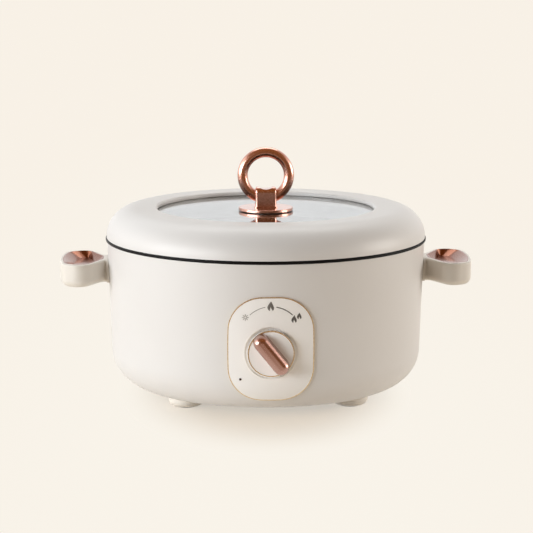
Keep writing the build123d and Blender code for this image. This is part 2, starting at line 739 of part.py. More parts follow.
def shaft_section(clear):
    """Round shaft with one flat, as a sketch on the knob's axis."""
    reach = SHAFT_R + clear
    with BuildSketch(Plane.XZ, mode=Mode.PRIVATE) as section:
        with Locations((0, KNOB_Z)):
            Circle(reach)
        with Locations((0, KNOB_Z + SHAFT_R - SHAFT_FLAT + clear + reach)):
            Rectangle(2 * reach, 2 * reach, mode=Mode.SUBTRACT)
    return section.sketch


with BuildPart() as regulator_body:
    with BuildSketch(Plane.XZ.offset(CUP_BACK_Y - REGULATOR_D)):
        with Locations((0, KNOB_Z)):
            Rectangle(REGULATOR_W, REGULATOR_H)
    extrude(amount=REGULATOR_D)
    with BuildSketch(Plane.XZ.offset(CUP_BACK_Y)):
        with Locations((0, KNOB_Z)):
            Circle(BUSH_R)
    extrude(amount=bush_front_y - CUP_BACK_Y)
    with BuildSketch(Plane.XZ.offset(shaft_back_y - SHAFT_RUN)):
        with Locations((0, KNOB_Z)):
            Circle(SHAFT_R + SHAFT_RUN)
    extrude(amount=FAR, mode=Mode.SUBTRACT)
    with BuildSketch(Plane.XY.offset(regulator_low_z)):
        with Locations(
            (-REGULATOR_TAB_X, -CUP_BACK_Y + REGULATOR_D / 2),
            (REGULATOR_TAB_X, -CUP_BACK_Y + REGULATOR_D / 2),
        ):
            Rectangle(reg_tab_w, reg_tab_t)
    extrude(amount=-reg_tab_len)
save(regulator_body, "regulator_body")

with BuildPart() as regulator_nut:
    with BuildSketch(Plane.XZ.offset(SEAT_Y)):
        with Locations((0, KNOB_Z)):
            RegularPolygon(NUT_R, 6)
            Circle(BUSH_R + SCREW_CLEAR, mode=Mode.SUBTRACT)
    extrude(amount=NUT_T)
save(regulator_nut, "regulator_nut")

with BuildPart() as regulator_shaft:
    with BuildSketch(Plane.XZ.offset(shaft_back_y)):
        with Locations((0, KNOB_Z)):
            Circle(SHAFT_R)
    extrude(amount=bush_front_y - shaft_back_y)
    with BuildSketch(Plane.XZ.offset(bush_front_y)):
        add(shaft_section(0))
    extrude(amount=shaft_front_y - bush_front_y)
save(regulator_shaft, "regulator_shaft")

# Knob: a skirt over the nut, a gold ring round its front edge and a straight grip
with BuildPart() as knob_skirt:
    with BuildSketch(Plane.XZ.offset(knob_back_y)):
        with Locations((0, KNOB_Z)):
            Circle(KNOB_R)
    extrude(amount=SKIRT_T - KNOB_RING_T)
    with BuildSketch(Plane.XZ.offset(knob_back_y)):
        with Locations((0, KNOB_Z)):
            Circle(KNOB_R - KNOB_RING_W)
    extrude(amount=SKIRT_T)
    with BuildSketch(Plane.XZ.offset(knob_back_y)):
        with Locations((0, KNOB_Z)):
            Circle(SKIRT_HOLLOW_R)
    extrude(amount=SKIRT_HOLLOW_T, mode=Mode.SUBTRACT)
    with BuildSketch(Plane.XZ):
        add(shaft_section(SHAFT_FIT))
    extrude(amount=FAR, mode=Mode.SUBTRACT)
save(knob_skirt, "knob_skirt")

with BuildPart() as knob_ring:
    with BuildSketch(Plane.XZ.offset(skirt_front_y - KNOB_RING_T)):
        with Locations((0, KNOB_Z)):
            Circle(KNOB_R)
            Circle(KNOB_R - KNOB_RING_W + SCREW_CLEAR, mode=Mode.SUBTRACT)
    extrude(amount=KNOB_RING_T + KNOB_RING_PROUD)
save(knob_ring, "knob_ring")

with BuildPart() as knob_grip:
    with BuildSketch(Plane.XZ.offset(skirt_front_y)):
        with Locations((0, KNOB_Z)):
            SlotOverall(GRIP_LEN, GRIP_W, rotation=90 + KNOB_ANGLE)
    extrude(amount=GRIP_T, taper=GRIP_DRAFT)
    fillet(knob_grip.edges().group_by(Axis.Y)[0], GRIP_ROUND)
    with BuildSketch(Plane.XZ.offset(skirt_front_y)):
        with Locations((0, KNOB_Z)):
            Circle(KNOB_R + GRIP_LEN)
            Circle(KNOB_R - KNOB_RING_W - GRIP_RELIEF, mode=Mode.SUBTRACT)
    extrude(amount=KNOB_RING_PROUD + GRIP_RELIEF, mode=Mode.SUBTRACT)
    with BuildSketch(Plane.XZ.offset(skirt_front_y)):
        add(shaft_section(SHAFT_FIT))
    extrude(amount=SHAFT_IN_GRIP + SHAFT_FIT, mode=Mode.SUBTRACT)
save(knob_grip, "knob_grip")

# Ear handles: a rounded paddle on a neck, its flange on the shell, with a thumb dish in its top
HANDLE_BODY_R = body_r(HANDLE_TOP_Z - HANDLE_T / 2)
handle_low_z = HANDLE_TOP_Z - HANDLE_T
handle_outer_x = HANDLE_BODY_R + HANDLE_REACH
handle_wide_x = HANDLE_BODY_R + HANDLE_WIDE
neck_x = HANDLE_BODY_R + NECK_LEN
dish_tip_x = HANDLE_BODY_R + DISH_TIP


def ear_outline(inset, outer_inset, root, corner_round, root_round):
    """Plan of the right ear: narrow at its root, wide, and bowed along its outer edge.

    The sides and the outer edge have each their inset. The root is a list of x and half length,
    from the wide place inwards.
    """
    outer_x = handle_outer_x - HANDLE_OUTER_BOW - outer_inset
    outer_half = HANDLE_OUTER_HALF - inset
    side = [(outer_x, outer_half), (handle_wide_x, HANDLE_HALF - inset), *root]
    other_side = [(x, -half) for x, half in side]
    with BuildSketch(Plane.XY, mode=Mode.PRIVATE) as ear:
        with BuildLine():
            Polyline(*side, *reversed(other_side))
            ThreePointArc(other_side[0], (handle_outer_x - outer_inset, 0), side[0])
        make_face()
        fillet(ear.vertices().filter_by(lambda v: v.X > root[0][0] + NEAR), corner_round)
        fillet(ear.vertices().filter_by(lambda v: abs(v.X - root[0][0]) < NEAR), root_round)
    return ear.sketch


def dish_solid(shrink):
    """Solid that fills the right thumb dish, its faces moved in by the shrink."""
    tip = [(dish_tip_x, DISH_TIP_HALF)]
    floor_tip = [(dish_tip_x + DISH_TIP_SLOPE, DISH_FLOOR_TIP_HALF)]
    floor_insets = DISH_RIM + DISH_SLOPE, DISH_RIM + DISH_OUTER_SLOPE
    floor = ear_outline(*floor_insets, floor_tip, DISH_FLOOR_ROUND, DISH_TIP_ROUND)
    mouth = ear_outline(DISH_RIM, DISH_RIM, tip, DISH_ROUND, DISH_TIP_ROUND)
    with BuildPart() as dish:
        for outline, z in ((floor, HANDLE_TOP_Z - DISH_DEPTH + shrink), (mouth, HANDLE_TOP_Z)):
            with BuildSketch(Plane.XY.offset(z)):
                add(outline)
                if shrink:
                    offset(amount=-shrink, mode=Mode.REPLACE)
        loft()
    return dish.part


def handle_flange():
    """Plate of the right ear's root, on the shell's curve."""
    with BuildPart() as flange:
        add(body_envelope(-FLANGE_T))
        with BuildSketch(Plane.YZ):
            with Locations((0, HANDLE_TOP_Z - HANDLE_T / 2)):
                RectangleRounded(2 * FLANGE_HALF, FLANGE_TALL, FLANGE_ROUND)
        extrude(amount=FAR, mode=Mode.INTERSECT)
    return flange.part


neck = [(neck_x, NECK_HALF), (CORNER_X, NECK_HALF)]
screw_edge_r = body_r(HANDLE_SCREW_Z - SCREW_HEAD_R, SHELL_WALL) - SKIN_GAP
screw_seat_x = sqrt(screw_edge_r**2 - (HANDLE_SCREW_Y + SCREW_HEAD_R) ** 2)
with BuildPart() as handle_right:
    with BuildSketch(Plane.XY.offset(handle_low_z)):
        add(ear_outline(0, 0, neck, HANDLE_CORNER_R, NECK_ROUND))
    extrude(amount=HANDLE_T)
    rim_edges = handle_right.edges().filter_by(lambda e: e.center().X > CORNER_X + NEAR)
    fillet(rim_edges.group_by(Axis.Z)[0], HANDLE_LOW_ROUND)
    rim_edges = handle_right.edges().filter_by(lambda e: e.center().X > CORNER_X + NEAR)
    fillet(rim_edges.group_by(Axis.Z)[-1], HANDLE_TOP_ROUND)
    add(handle_flange())
    add(body_envelope(-SKIN_GAP), mode=Mode.SUBTRACT)
    add(dish_solid(-DISH_CLEAR), mode=Mode.SUBTRACT)
    with BuildSketch(Plane.YZ):
        with Locations(*HANDLE_SCREW_PLACES):
            Circle(SCREW_R + SCREW_CLEAR)
    extrude(amount=HANDLE_BODY_R + SCREW_BITE + HOLE_TIP, mode=Mode.SUBTRACT)
save(handle_right, "handle_right")

with BuildPart() as handle_left:
    mirror(handle_right.part, about=Plane.YZ)
save(handle_left, "handle_left")

with BuildPart() as handle_dish_right:
    add(dish_solid(0))
    add(dish_solid(DISH_T), mode=Mode.SUBTRACT)
save(handle_dish_right, "handle_dish_right")

with BuildPart() as handle_dish_left:
    mirror(handle_dish_right.part, about=Plane.YZ)
save(handle_dish_left, "handle_dish_left")

# Handle screws, driven from inside the shell
with BuildPart() as handle_screws:
    with BuildSketch(Plane.YZ.offset(screw_seat_x - SCREW_HEAD_T)):
        with Locations(*HANDLE_SCREW_PLACES):
            Circle(SCREW_HEAD_R)
    extrude(amount=SCREW_HEAD_T)
    with BuildSketch(Plane.YZ.offset(screw_seat_x)):
        with Locations(*HANDLE_SCREW_PLACES):
            Circle(SCREW_R)
    extrude(amount=HANDLE_BODY_R + SCREW_BITE - screw_seat_x)
    mirror(about=Plane.YZ)
save(handle_screws, "handle_screws")

# Power inlet: a shrouded socket that stands out of the back, on two ears
INLET_BODY_R = body_r(INLET_Z)
inlet_front_y = INLET_BODY_R + INLET_PROUD
socket_floor_y = inlet_front_y - SOCKET_DEPTH
inlet_back_y = socket_floor_y - SOCKET_BACK
pad_inner_x = INLET_SCREW_X - INLET_SCREW_HEAD_R - SCREW_PAD_RIM
inlet_pad_y = sqrt((INLET_BODY_R + EAR_T) ** 2 - pad_inner_x**2)
inlet_nut_y = sqrt(body_r(INLET_Z, SHELL_WALL) ** 2 - (INLET_SCREW_X + INLET_NUT_R) ** 2)
BLADE_PLACES = [
    (-BLADE_X, INLET_Z - BLADE_DROP),
    (BLADE_X, INLET_Z - BLADE_DROP),
    (0, INLET_Z + BLADE_DROP),
]
with BuildPart() as inlet_housing:
    add(body_envelope(-EAR_T))
    add(body_envelope(-SKIN_GAP), mode=Mode.SUBTRACT)
    with BuildSketch(Plane.XZ):
        with Locations((0, INLET_Z)):
            RectangleRounded(EAR_W, EAR_H, EAR_ROUND)
    extrude(amount=-FAR, mode=Mode.INTERSECT)
    with BuildSketch(Plane.XZ.offset(-inlet_pad_y)):
        with Locations(*INLET_SCREW_PLACES):
            Circle(INLET_SCREW_HEAD_R + SCREW_PAD_RIM)
    extrude(amount=EAR_T)
    add(body_envelope(-SKIN_GAP), mode=Mode.SUBTRACT)
    with BuildSketch(Plane.XZ.offset(-inlet_back_y)):
        with Locations((0, INLET_Z)):
            RectangleRounded(INLET_W, INLET_H, INLET_ROUND)
    extrude(amount=inlet_back_y - inlet_front_y)
    with BuildSketch(Plane.XZ.offset(-inlet_front_y)) as socket:
        with Locations((0, INLET_Z)):
            Rectangle(SOCKET_W, SOCKET_H)
        chamfer(socket.vertices().group_by(Axis.Z)[-1], SOCKET_CHAMFER)
    extrude(amount=SOCKET_DEPTH, mode=Mode.SUBTRACT)
    with BuildSketch(Plane.XZ):
        with Locations(*BLADE_PLACES):
            Rectangle(BLADE_W + 2 * BLADE_CLEAR, BLADE_H + 2 * BLADE_CLEAR)
        with Locations(*INLET_SCREW_PLACES):
            Circle(INLET_SCREW_R + SCREW_PASS)
    extrude(amount=-FAR, mode=Mode.SUBTRACT)
save(inlet_housing, "inlet_housing")

with BuildPart() as inlet_blades:
    with BuildSketch(Plane.XZ.offset(BLADE_TAIL - inlet_back_y)):
        with Locations(*BLADE_PLACES):
            Rectangle(BLADE_W, BLADE_H)
    extrude(amount=inlet_back_y - BLADE_TAIL - inlet_front_y + BLADE_SUNK)
save(inlet_blades, "inlet_blades")

with BuildPart() as inlet_screws:
    with BuildSketch(Plane.XZ.offset(-inlet_pad_y)):
        with Locations(*INLET_SCREW_PLACES):
            Circle(INLET_SCREW_HEAD_R)
    extrude(amount=-INLET_SCREW_HEAD_T)
    with BuildSketch(Plane.XZ.offset(-inlet_pad_y)):
        with Locations(*INLET_SCREW_PLACES):
            Circle(INLET_SCREW_R)
    extrude(amount=inlet_pad_y - inlet_nut_y + INLET_NUT_T)
save(inlet_screws, "inlet_screws")

with BuildPart() as inlet_nuts:
    with BuildSketch(Plane.XZ.offset(-inlet_nut_y)):
        with Locations(*INLET_SCREW_PLACES):
            RegularPolygon(INLET_NUT_R, 6)
            Circle(INLET_SCREW_R + SCREW_CLEAR, mode=Mode.SUBTRACT)
    extrude(amount=INLET_NUT_T)
save(inlet_nuts, "inlet_nuts")

# Lid rim: a rounded shoulder, a flat crown and a solid ring that holds the glass
LID_R = RIM_R - LID_STEP
lid_low_z = RIM_TOP_Z + LID_GAP
shoulder_z = lid_low_z + LID_EDGE
shoulder_x = LID_R - LID_SHOULDER_R
lid_top_z = shoulder_z + LID_SHOULDER_R
glass_top_z = lid_top_z - GLASS_SINK
glass_low_z = glass_top_z - GLASS_T
lip_low_z = glass_top_z + GASKET_TOP
block_low_z = glass_low_z - GASKET_LOW
glass_r = LID_LIP_R + GLASS_BITE
gasket_r = glass_r + GASKET_SIDE
block_r = LID_LIP_R + LID_BLOCK_W
with BuildPart() as lid_rim:
    with BuildSketch(Plane.XZ):
        with BuildLine():
            Line((LID_R, lid_low_z), (LID_R, shoulder_z))
            CenterArc((shoulder_x, shoulder_z), LID_SHOULDER_R, 0, 90)
            Line((shoulder_x, lid_top_z), (LID_LIP_R + LID_LIP_ROUND, lid_top_z))
            CenterArc((LID_LIP_R + LID_LIP_ROUND, lid_top_z - LID_LIP_ROUND), LID_LIP_ROUND, 90, 90)
            Polyline(
                (LID_LIP_R, lid_top_z - LID_LIP_ROUND),
                (LID_LIP_R, lip_low_z),
                (gasket_r, lip_low_z),
                (gasket_r, block_low_z),
                (block_r, block_low_z),
                (block_r, lid_top_z - LID_WALL),
                (shoulder_x, lid_top_z - LID_WALL),
            )
            CenterArc((shoulder_x, shoulder_z), LID_SHOULDER_R - LID_WALL, 90, -90)
            Polyline(
                (LID_R - LID_WALL, shoulder_z),
                (LID_R - LID_WALL, lid_low_z),
                (LID_R, lid_low_z),
            )
        make_face()
    revolve(axis=Axis.Z)
    with BuildSketch(Plane.XY.offset(block_low_z)):
        with PolarLocations((gasket_r + block_r) / 2, LID_SCREW_COUNT):
            Circle(PANEL_SCREW_R + SCREW_CLEAR)
    extrude(amount=LID_SCREW_BITE + HOLE_TIP, mode=Mode.SUBTRACT)
save(lid_rim, "lid_rim")

# Window glass, with the hole for the handle's bolt
with BuildPart() as lid_glass:
    with BuildSketch(Plane.XY.offset(glass_low_z)):
        Circle(glass_r)
        Circle(LID_BOLT_R + GLASS_HOLE_CLEAR, mode=Mode.SUBTRACT)
    extrude(amount=GLASS_T)
save(lid_glass, "lid_glass")

# Gasket that wraps the glass edge
gasket_lip_r = LID_LIP_R + GASKET_LIP
with BuildPart() as glass_gasket:
    with BuildSketch(Plane.XZ):
        with BuildLine():
            Polyline(
                (gasket_lip_r, lip_low_z),
                (gasket_r, lip_low_z),
                (gasket_r, block_low_z),
                (gasket_lip_r, block_low_z),
                (gasket_lip_r, glass_low_z),
                (glass_r, glass_low_z),
                (glass_r, glass_top_z),
                (gasket_lip_r, glass_top_z),
                close=True,
            )
        make_face()
    revolve(axis=Axis.Z)
save(glass_gasket, "glass_gasket")

# Lid liner: closes the rim from below and steps into the pot's mouth
liner_low_z = block_low_z - LINER_T
skirt_out_r = MOUTH_R - LINER_SKIRT_GAP
skirt_in_r = skirt_out_r - LINER_SKIRT_T
skirt_low_z = RIM_TOP_Z - LINER_SKIRT_DROP
liner_edge_r = LID_R - LID_WALL - LINER_CLEAR
liner_edge_z = lid_low_z + LINER_LIFT
with BuildPart() as lid_liner:
    with BuildSketch(Plane.XZ):
        with BuildLine():
            Polyline(
                (gasket_lip_r, liner_low_z),
                (block_r, liner_low_z),
                (skirt_in_r, liner_edge_z),
                (skirt_in_r, skirt_low_z),
                (skirt_out_r, skirt_low_z),
                (skirt_out_r, liner_edge_z),
                (liner_edge_r, liner_edge_z),
                (liner_edge_r, liner_edge_z + LINER_T),
                (skirt_in_r + LINER_T / 2, liner_edge_z + LINER_T),
                (block_r + LINER_T / 2, block_low_z),
                (gasket_lip_r, block_low_z),
                close=True,
            )
        make_face()
    revolve(axis=Axis.Z)
    with BuildSketch(Plane.XY.offset(liner_low_z)):
        with PolarLocations((gasket_r + block_r) / 2, LID_SCREW_COUNT):
            Circle(PANEL_SCREW_R + SCREW_PASS)
    extrude(amount=LINER_T, mode=Mode.SUBTRACT)
save(lid_liner, "lid_liner")

with BuildPart() as lid_screws:
    with BuildSketch(Plane.XY.offset(liner_low_z - PANEL_SCREW_HEAD_T)):
        with PolarLocations((gasket_r + block_r) / 2, LID_SCREW_COUNT):
            Circle(PANEL_SCREW_HEAD_R)
    extrude(amount=PANEL_SCREW_HEAD_T)
    with BuildSketch(Plane.XY.offset(liner_low_z)):
        with PolarLocations((gasket_r + block_r) / 2, LID_SCREW_COUNT):
            Circle(PANEL_SCREW_R)
    extrude(amount=LINER_T + LID_SCREW_BITE)
save(lid_screws, "lid_screws")

# Lid handle's stand: a thin round edged disc on a gasket, bolted through the glass
stand_low_z = glass_top_z + STAND_GASKET_T
stand_top_z = stand_low_z + STAND_T
with BuildPart() as lid_handle_gasket:
    with BuildSketch(Plane.XY.offset(glass_top_z)):
        Circle(STAND_GASKET_R)
        Circle(LID_BOLT_R + GLASS_HOLE_CLEAR, mode=Mode.SUBTRACT)
    extrude(amount=STAND_GASKET_T)
save(lid_handle_gasket, "lid_handle_gasket")

with BuildPart() as lid_handle_stand:
    with BuildSketch(Plane.XY.offset(stand_low_z)):
        Circle(STAND_R)
        Circle(LID_BOLT_R + SCREW_PASS, mode=Mode.SUBTRACT)
    extrude(amount=STAND_T)
    round_edges = lid_handle_stand.edges().filter_by(GeomType.CIRCLE)
    fillet(round_edges.group_by(SortBy.RADIUS)[-1], STAND_ROUND)
save(lid_handle_stand, "lid_handle_stand")

with BuildPart() as lid_handle_washer:
    with BuildSketch(Plane.XY.offset(glass_low_z)):
        Circle(LID_WASHER_R)
        Circle(LID_BOLT_R + SCREW_PASS, mode=Mode.SUBTRACT)
    extrude(amount=-LID_WASHER_T)
save(lid_handle_washer, "lid_handle_washer")

with BuildPart() as lid_handle_bolt:
    with BuildSketch(Plane.XY.offset(glass_low_z - LID_WASHER_T)):
        Circle(LID_BOLT_HEAD_R)
    extrude(amount=-LID_BOLT_HEAD_T)
    with BuildSketch(Plane.XY.offset(glass_low_z - LID_WASHER_T)):
        Circle(LID_BOLT_R)
    extrude(amount=stand_top_z + LID_BOLT_BITE - glass_low_z + LID_WASHER_T)
save(lid_handle_bolt, "lid_handle_bolt")

# Strap that the ring turns in: upright, round shouldered, hollowed along the ring's curve
RING_Z = stand_top_z + RING_LIFT
PIN_Z = RING_Z - sqrt(RING_R**2 - (STRAP_W / 2) ** 2)
strap_top_z = RING_Z - STRAP_TOP_CURVE + STRAP_CORNER_RISE
with BuildPart() as lid_handle_strap:
    with BuildSketch(Plane.XY.offset(stand_top_z)):
        Rectangle(STRAP_W, STRAP_T)
    extrude(amount=strap_top_z - stand_top_z)
    top_edges = lid_handle_strap.edges().group_by(Axis.Z)[-1]
    fillet(top_edges.filter_by(Axis.X), STRAP_SHOULDER)
    with BuildSketch(Plane.XZ):
        with Locations((0, RING_Z)):
            Circle(STRAP_TOP_CURVE)
    extrude(amount=STRAP_T, both=True, mode=Mode.SUBTRACT)
    side_edges = lid_handle_strap.edges().filter_by(
        lambda e: abs(abs(e.center().X) - STRAP_W / 2) < NEAR and e.center().Z > stand_top_z + NEAR
    )
    fillet(side_edges, STRAP_EDGE)
    with BuildSketch(Plane.XY.offset(stand_top_z)):
        RectangleRounded(STRAP_W + 2 * STRAP_FOOT, STRAP_T + 2 * STRAP_FOOT, STRAP_EDGE)
    extrude(amount=STRAP_FOOT_T)
    with BuildSketch(Plane.YZ):
        with Locations((0, PIN_Z)):
            Circle(PIN_R + PIN_RUN)
    extrude(amount=STRAP_W, both=True, mode=Mode.SUBTRACT)
    with BuildSketch(Plane.XY.offset(stand_top_z)):
        Circle(LID_BOLT_R + SCREW_CLEAR)
    extrude(amount=LID_BOLT_BITE + SCREW_CLEAR, mode=Mode.SUBTRACT)
save(lid_handle_strap, "lid_handle_strap")

# Ring: a round wire closed by a straight pin inside the strap
with BuildPart() as lid_handle_ring:
    with Locations((0, 0, RING_Z)):
        Torus(RING_R, RING_WIRE_R, rotation=(90, 0, 0))
    with BuildSketch(Plane.XZ):
        with Locations((0, RING_Z - RING_R)):
            Rectangle(STRAP_W + 2 * RING_SIDE_GAP, RING_R)
    extrude(amount=RING_R, both=True, mode=Mode.SUBTRACT)
    with BuildSketch(Plane.YZ):
        with Locations((0, PIN_Z)):
            Circle(PIN_R)
    extrude(amount=STRAP_W / 2 + RING_SIDE_GAP + PIN_ROOT, both=True)
save(lid_handle_ring, "lid_handle_ring")


def lead(points):
    """Insulated lead along its route, with each bend as round as its two runs allow."""
    route = [Vector(point) for point in points]
    bends = []
    for before, here, after in zip(route, route[1:], route[2:]):
        turn = radians((here - before).get_angle(after - here))
        run = min((here - before).length, (after - here).length)
        bends.append(LEAD_BEND * run / tan(turn / 2))
    with BuildPart() as wire:
        with BuildLine() as path:
            FilletPolyline(*route, radius=bends)
        line = path.wire()
        with BuildSketch(Plane(origin=line @ 0, z_dir=line % 0)):
            Circle(LEAD_R)
        sweep()
    return wire


def from_front(r, angle, z):
    """Point at a radius, with its angle counted from the front towards the right."""
    return (r * sin(radians(angle)), -r * cos(radians(angle)), z)


LEAD_RING_R = body_r(LEAD_LEVEL, SHELL_WALL) - LEAD_AIR


def round_run(angles):
    """Points of a run round the inside of the body, at angles from the front."""
    return [from_front(LEAD_RING_R, angle, LEAD_LEVEL) for angle in angles]


# Leads: live to the regulator, on to the cut-off and the heater, neutral and earth back
tail_y = inlet_back_y - BLADE_TAIL
line_z = INLET_Z - BLADE_DROP
earth_z = INLET_Z + BLADE_DROP
tab_y = -CUP_BACK_Y + REGULATOR_D / 2
tab_end_z = regulator_low_z - reg_tab_len
cutoff_tab_x = CUTOFF_BODY_R + tab_len
cutoff_bend_x = cutoff_tab_x + 1.4 * LEAD_STUB
cutoff_tab_z = cutoff_low_z + CUTOFF_BODY_T / 2 + tab_t / 2
tray_z = SHIELD_Z + LEAD_LIFT
in_front_r = SHIELD_R + LEAD_OUT
past_posts_r = POST_RING_R + POST_R
inside_posts_r = POST_RING_R - 4 * POST_R
pin_ends = [tuple(end.offset(SEAL_LEN + TERMINAL_LEN).origin) for end in HEATER_ENDS]
pin_stubs = [tuple(end.offset(SEAL_LEN + TERMINAL_LEN + LEAD_STUB).origin) for end in HEATER_ENDS]

lead_live = lead(
    [
        (-BLADE_X, tail_y, line_z),
        (-BLADE_X, tail_y - LEAD_STUB, line_z),
        *round_run([-165, -145, -120, -95, -70, -45, -22]),
        (-REGULATOR_TAB_X, tab_y, LEAD_LEVEL + LEAD_STUB / 2),
        (-REGULATOR_TAB_X, tab_y, tab_end_z),
    ]
)
save(lead_live, "lead_live")

lead_switched = lead(
    [
        (REGULATOR_TAB_X, tab_y, tab_end_z),
        (REGULATOR_TAB_X, tab_y, tray_z),
        from_front(in_front_r, 4.6, tray_z),
        from_front(SHIELD_R, 6.5, tray_z),
        from_front(past_posts_r, 20, tray_z),
        from_front(inside_posts_r, 51, tray_z),
        (cutoff_bend_x, 0, cutoff_tab_z),
        (cutoff_tab_x, 0, cutoff_tab_z),
    ]
)
save(lead_switched, "lead_switched")

lead_heater = lead(
    [
        (-cutoff_tab_x, 0, cutoff_tab_z),
        (-cutoff_bend_x, 0, cutoff_tab_z),
        from_front(inside_posts_r, -51, tray_z),
        from_front(past_posts_r, -20, tray_z),
        from_front(HEATER_RING_R - 2 * HEATER_TUBE_R, -1.5, tray_z),
        pin_stubs[1],
        pin_ends[1],
    ]
)
save(lead_heater, "lead_heater")

lead_neutral = lead(
    [
        pin_ends[0],
        pin_stubs[0],
        from_front(SHIELD_R + LEAD_STUB / 2, 0, tray_z - LEAD_STUB / 4),
        from_front(SHIELD_R + 2 * LEAD_STUB, 3, LEAD_LEVEL),
        *round_run([15, 38, 62, 87, 112, 137, 158]),
        (BLADE_X, tail_y - LEAD_STUB, line_z),
        (BLADE_X, tail_y, line_z),
    ]
)
save(lead_neutral, "lead_neutral")

earth_y = SHIELD_R + EARTH_GAP
earth_low_z = POT_BASE_Z - LEAD_STUB
lead_earth = lead(
    [
        (0, tail_y, earth_z),
        (0, tail_y - LEAD_STUB, earth_z),
        (0, (tail_y - LEAD_STUB + earth_y) / 2, earth_low_z),
        (0, earth_y, earth_low_z),
        (0, earth_y, POT_BASE_Z),
    ]
)
save(lead_earth, "lead_earth")
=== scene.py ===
"""Looks of a round electric hot pot: cream moulded body and lid, black pot rim, rose gold ring and knob."""

import math

import bpy
import numpy as np
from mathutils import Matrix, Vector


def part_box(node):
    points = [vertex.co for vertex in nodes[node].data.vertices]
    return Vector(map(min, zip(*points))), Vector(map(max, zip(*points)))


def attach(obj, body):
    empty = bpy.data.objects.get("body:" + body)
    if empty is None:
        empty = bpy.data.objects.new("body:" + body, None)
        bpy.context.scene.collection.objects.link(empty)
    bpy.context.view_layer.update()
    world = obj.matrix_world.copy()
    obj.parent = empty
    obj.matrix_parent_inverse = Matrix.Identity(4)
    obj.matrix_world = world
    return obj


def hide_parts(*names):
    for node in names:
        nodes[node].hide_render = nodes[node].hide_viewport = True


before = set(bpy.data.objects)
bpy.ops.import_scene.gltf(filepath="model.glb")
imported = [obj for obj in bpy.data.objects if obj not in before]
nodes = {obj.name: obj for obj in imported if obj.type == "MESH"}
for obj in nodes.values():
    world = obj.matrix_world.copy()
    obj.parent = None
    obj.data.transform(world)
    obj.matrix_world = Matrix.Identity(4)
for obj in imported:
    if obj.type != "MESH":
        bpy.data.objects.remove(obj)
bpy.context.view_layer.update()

# Outer shell with its cover, feet and ear handles
# Cream plastic, moulded with a spark-eroded skin that leaves it satin. The ears and feet get a lighter,
# warmer copy of the cream: painted light for the warm bounce and soft light that reaches them.
# The handles are screwed on from inside, the feet are pegged in, and the cover closes the underside.
CREAM = (0.705, 0.683, 0.660, 1.0)
CREAM_SECOND = (0.687, 0.662, 0.636, 1.0)
# Lighter, warmer copy of the cream for the ears and feet: painted light, not a different plastic
PAINTED_LIGHT_CREAM = (0.750, 0.703, 0.636, 1.0)
PAINTED_LIGHT_CREAM_SECOND = (0.731, 0.682, 0.611, 1.0)
SPARKED = {"Pit Scale": 2600.0, "Rough Low": 0.36, "Rough High": 0.46}
SPARK_DEPTH = 0.00002
PLASTIC_IOR = 1.47
FLOW_SCALE = 260.0  # streaks left by the plastic's flow
NOISE_LOW, NOISE_HIGH = 0.3, 0.7  # most of a noise's values lie between these
MIX_FIRST, MIX_SECOND, MIX_RESULT = 6, 7, 2  # a Mix node's sockets for colours
TONES = [("Tone", "Color"), ("Second Tone", "Color")]
GLOSS = [("Rough Low", "Float"), ("Rough High", "Float")]
SURFACE = [("Color", "Color"), ("Roughness", "Float"), ("Height", "Float")]


def put(tree, kind, values=None, **settings):
    """Adds a node, with each named input set to a value or joined to the socket given for it."""
    node = tree.nodes.new(kind)
    for key, value in settings.items():
        setattr(node, key, value)
    for key, value in (values or {}).items():
        if isinstance(value, bpy.types.NodeSocket):
            tree.links.new(value, node.inputs[key])
        else:
            node.inputs[key].default_value = value
    return node


def group_of(name, inputs, outputs):
    """Starts a shader node group with these named sockets, each given with its kind."""
    group = bpy.data.node_groups.new(name, "ShaderNodeTree")
    for label, kind in inputs:
        group.interface.new_socket(label, in_out="INPUT", socket_type=f"NodeSocket{kind}")
    for label, kind in outputs:
        group.interface.new_socket(label, in_out="OUTPUT", socket_type=f"NodeSocket{kind}")
    return group, group.nodes.new("NodeGroupInput").outputs


def object_place(tree):
    """Place on the piece, in metres in the pot's own frame."""
    return put(tree, "ShaderNodeTexCoord").outputs["Object"]


def noise(tree, place, scale, detail, **more):
    """Noise over a place, from 0 to 1."""
    settings = {"Vector": place, "Scale": scale, "Detail": detail, **more}
    return put(tree, "ShaderNodeTexNoise", settings).outputs["Fac"]


def ranged(tree, value, low, high):
    """Stretches the middle of a noise to the span between low and high."""
    span = {"From Min": NOISE_LOW, "From Max": NOISE_HIGH, "To Min": low, "To Max": high}
    return put(tree, "ShaderNodeMapRange", {"Value": value, **span}).outputs["Result"]


def blended(tree, factor, first, second):
    """Colour that goes from the first to the second with the factor."""
    colours = {"Factor": factor, MIX_FIRST: first, MIX_SECOND: second}
    return put(tree, "ShaderNodeMix", colours, data_type="RGBA").outputs[MIX_RESULT]


def give(group, colour, roughness, height):
    """Closes an effect with what it puts out."""
    put(group, "NodeGroupOutput", {"Color": colour, "Roughness": roughness, "Height": height})


def bare_tree(owner):
    """Node tree of a material or a world, with nothing in it yet."""
    owner.use_nodes = True
    owner.node_tree.nodes.clear()
    return owner.node_tree


def finish(name, effect, settings, pit_depth, **plain):
    """One Principled shader: colour, gloss and height from an effect, the rest as plain values."""
    material = bpy.data.materials.new(name)
    tree = bare_tree(material)
    detail = put(tree, "ShaderNodeGroup", settings, node_tree=effect).outputs
    bump = put(tree, "ShaderNodeBump", {"Height": detail["Height"], "Distance": pit_depth, "Strength": 1.0})
    inputs = {
        "Base Color": detail["Color"],
        "Roughness": detail["Roughness"],
        "Normal": bump.outputs["Normal"],
        **{key.replace("_", " "): value for key, value in plain.items()},
    }
    shader = put(tree, "ShaderNodeBsdfPrincipled", inputs)
    put(tree, "ShaderNodeOutputMaterial", {"Surface": shader.outputs["BSDF"]})
    return material


def dress(material, *names):
    """Gives CAD nodes their finish."""
    for name in names:
        nodes[name].material_slots[0].material = material


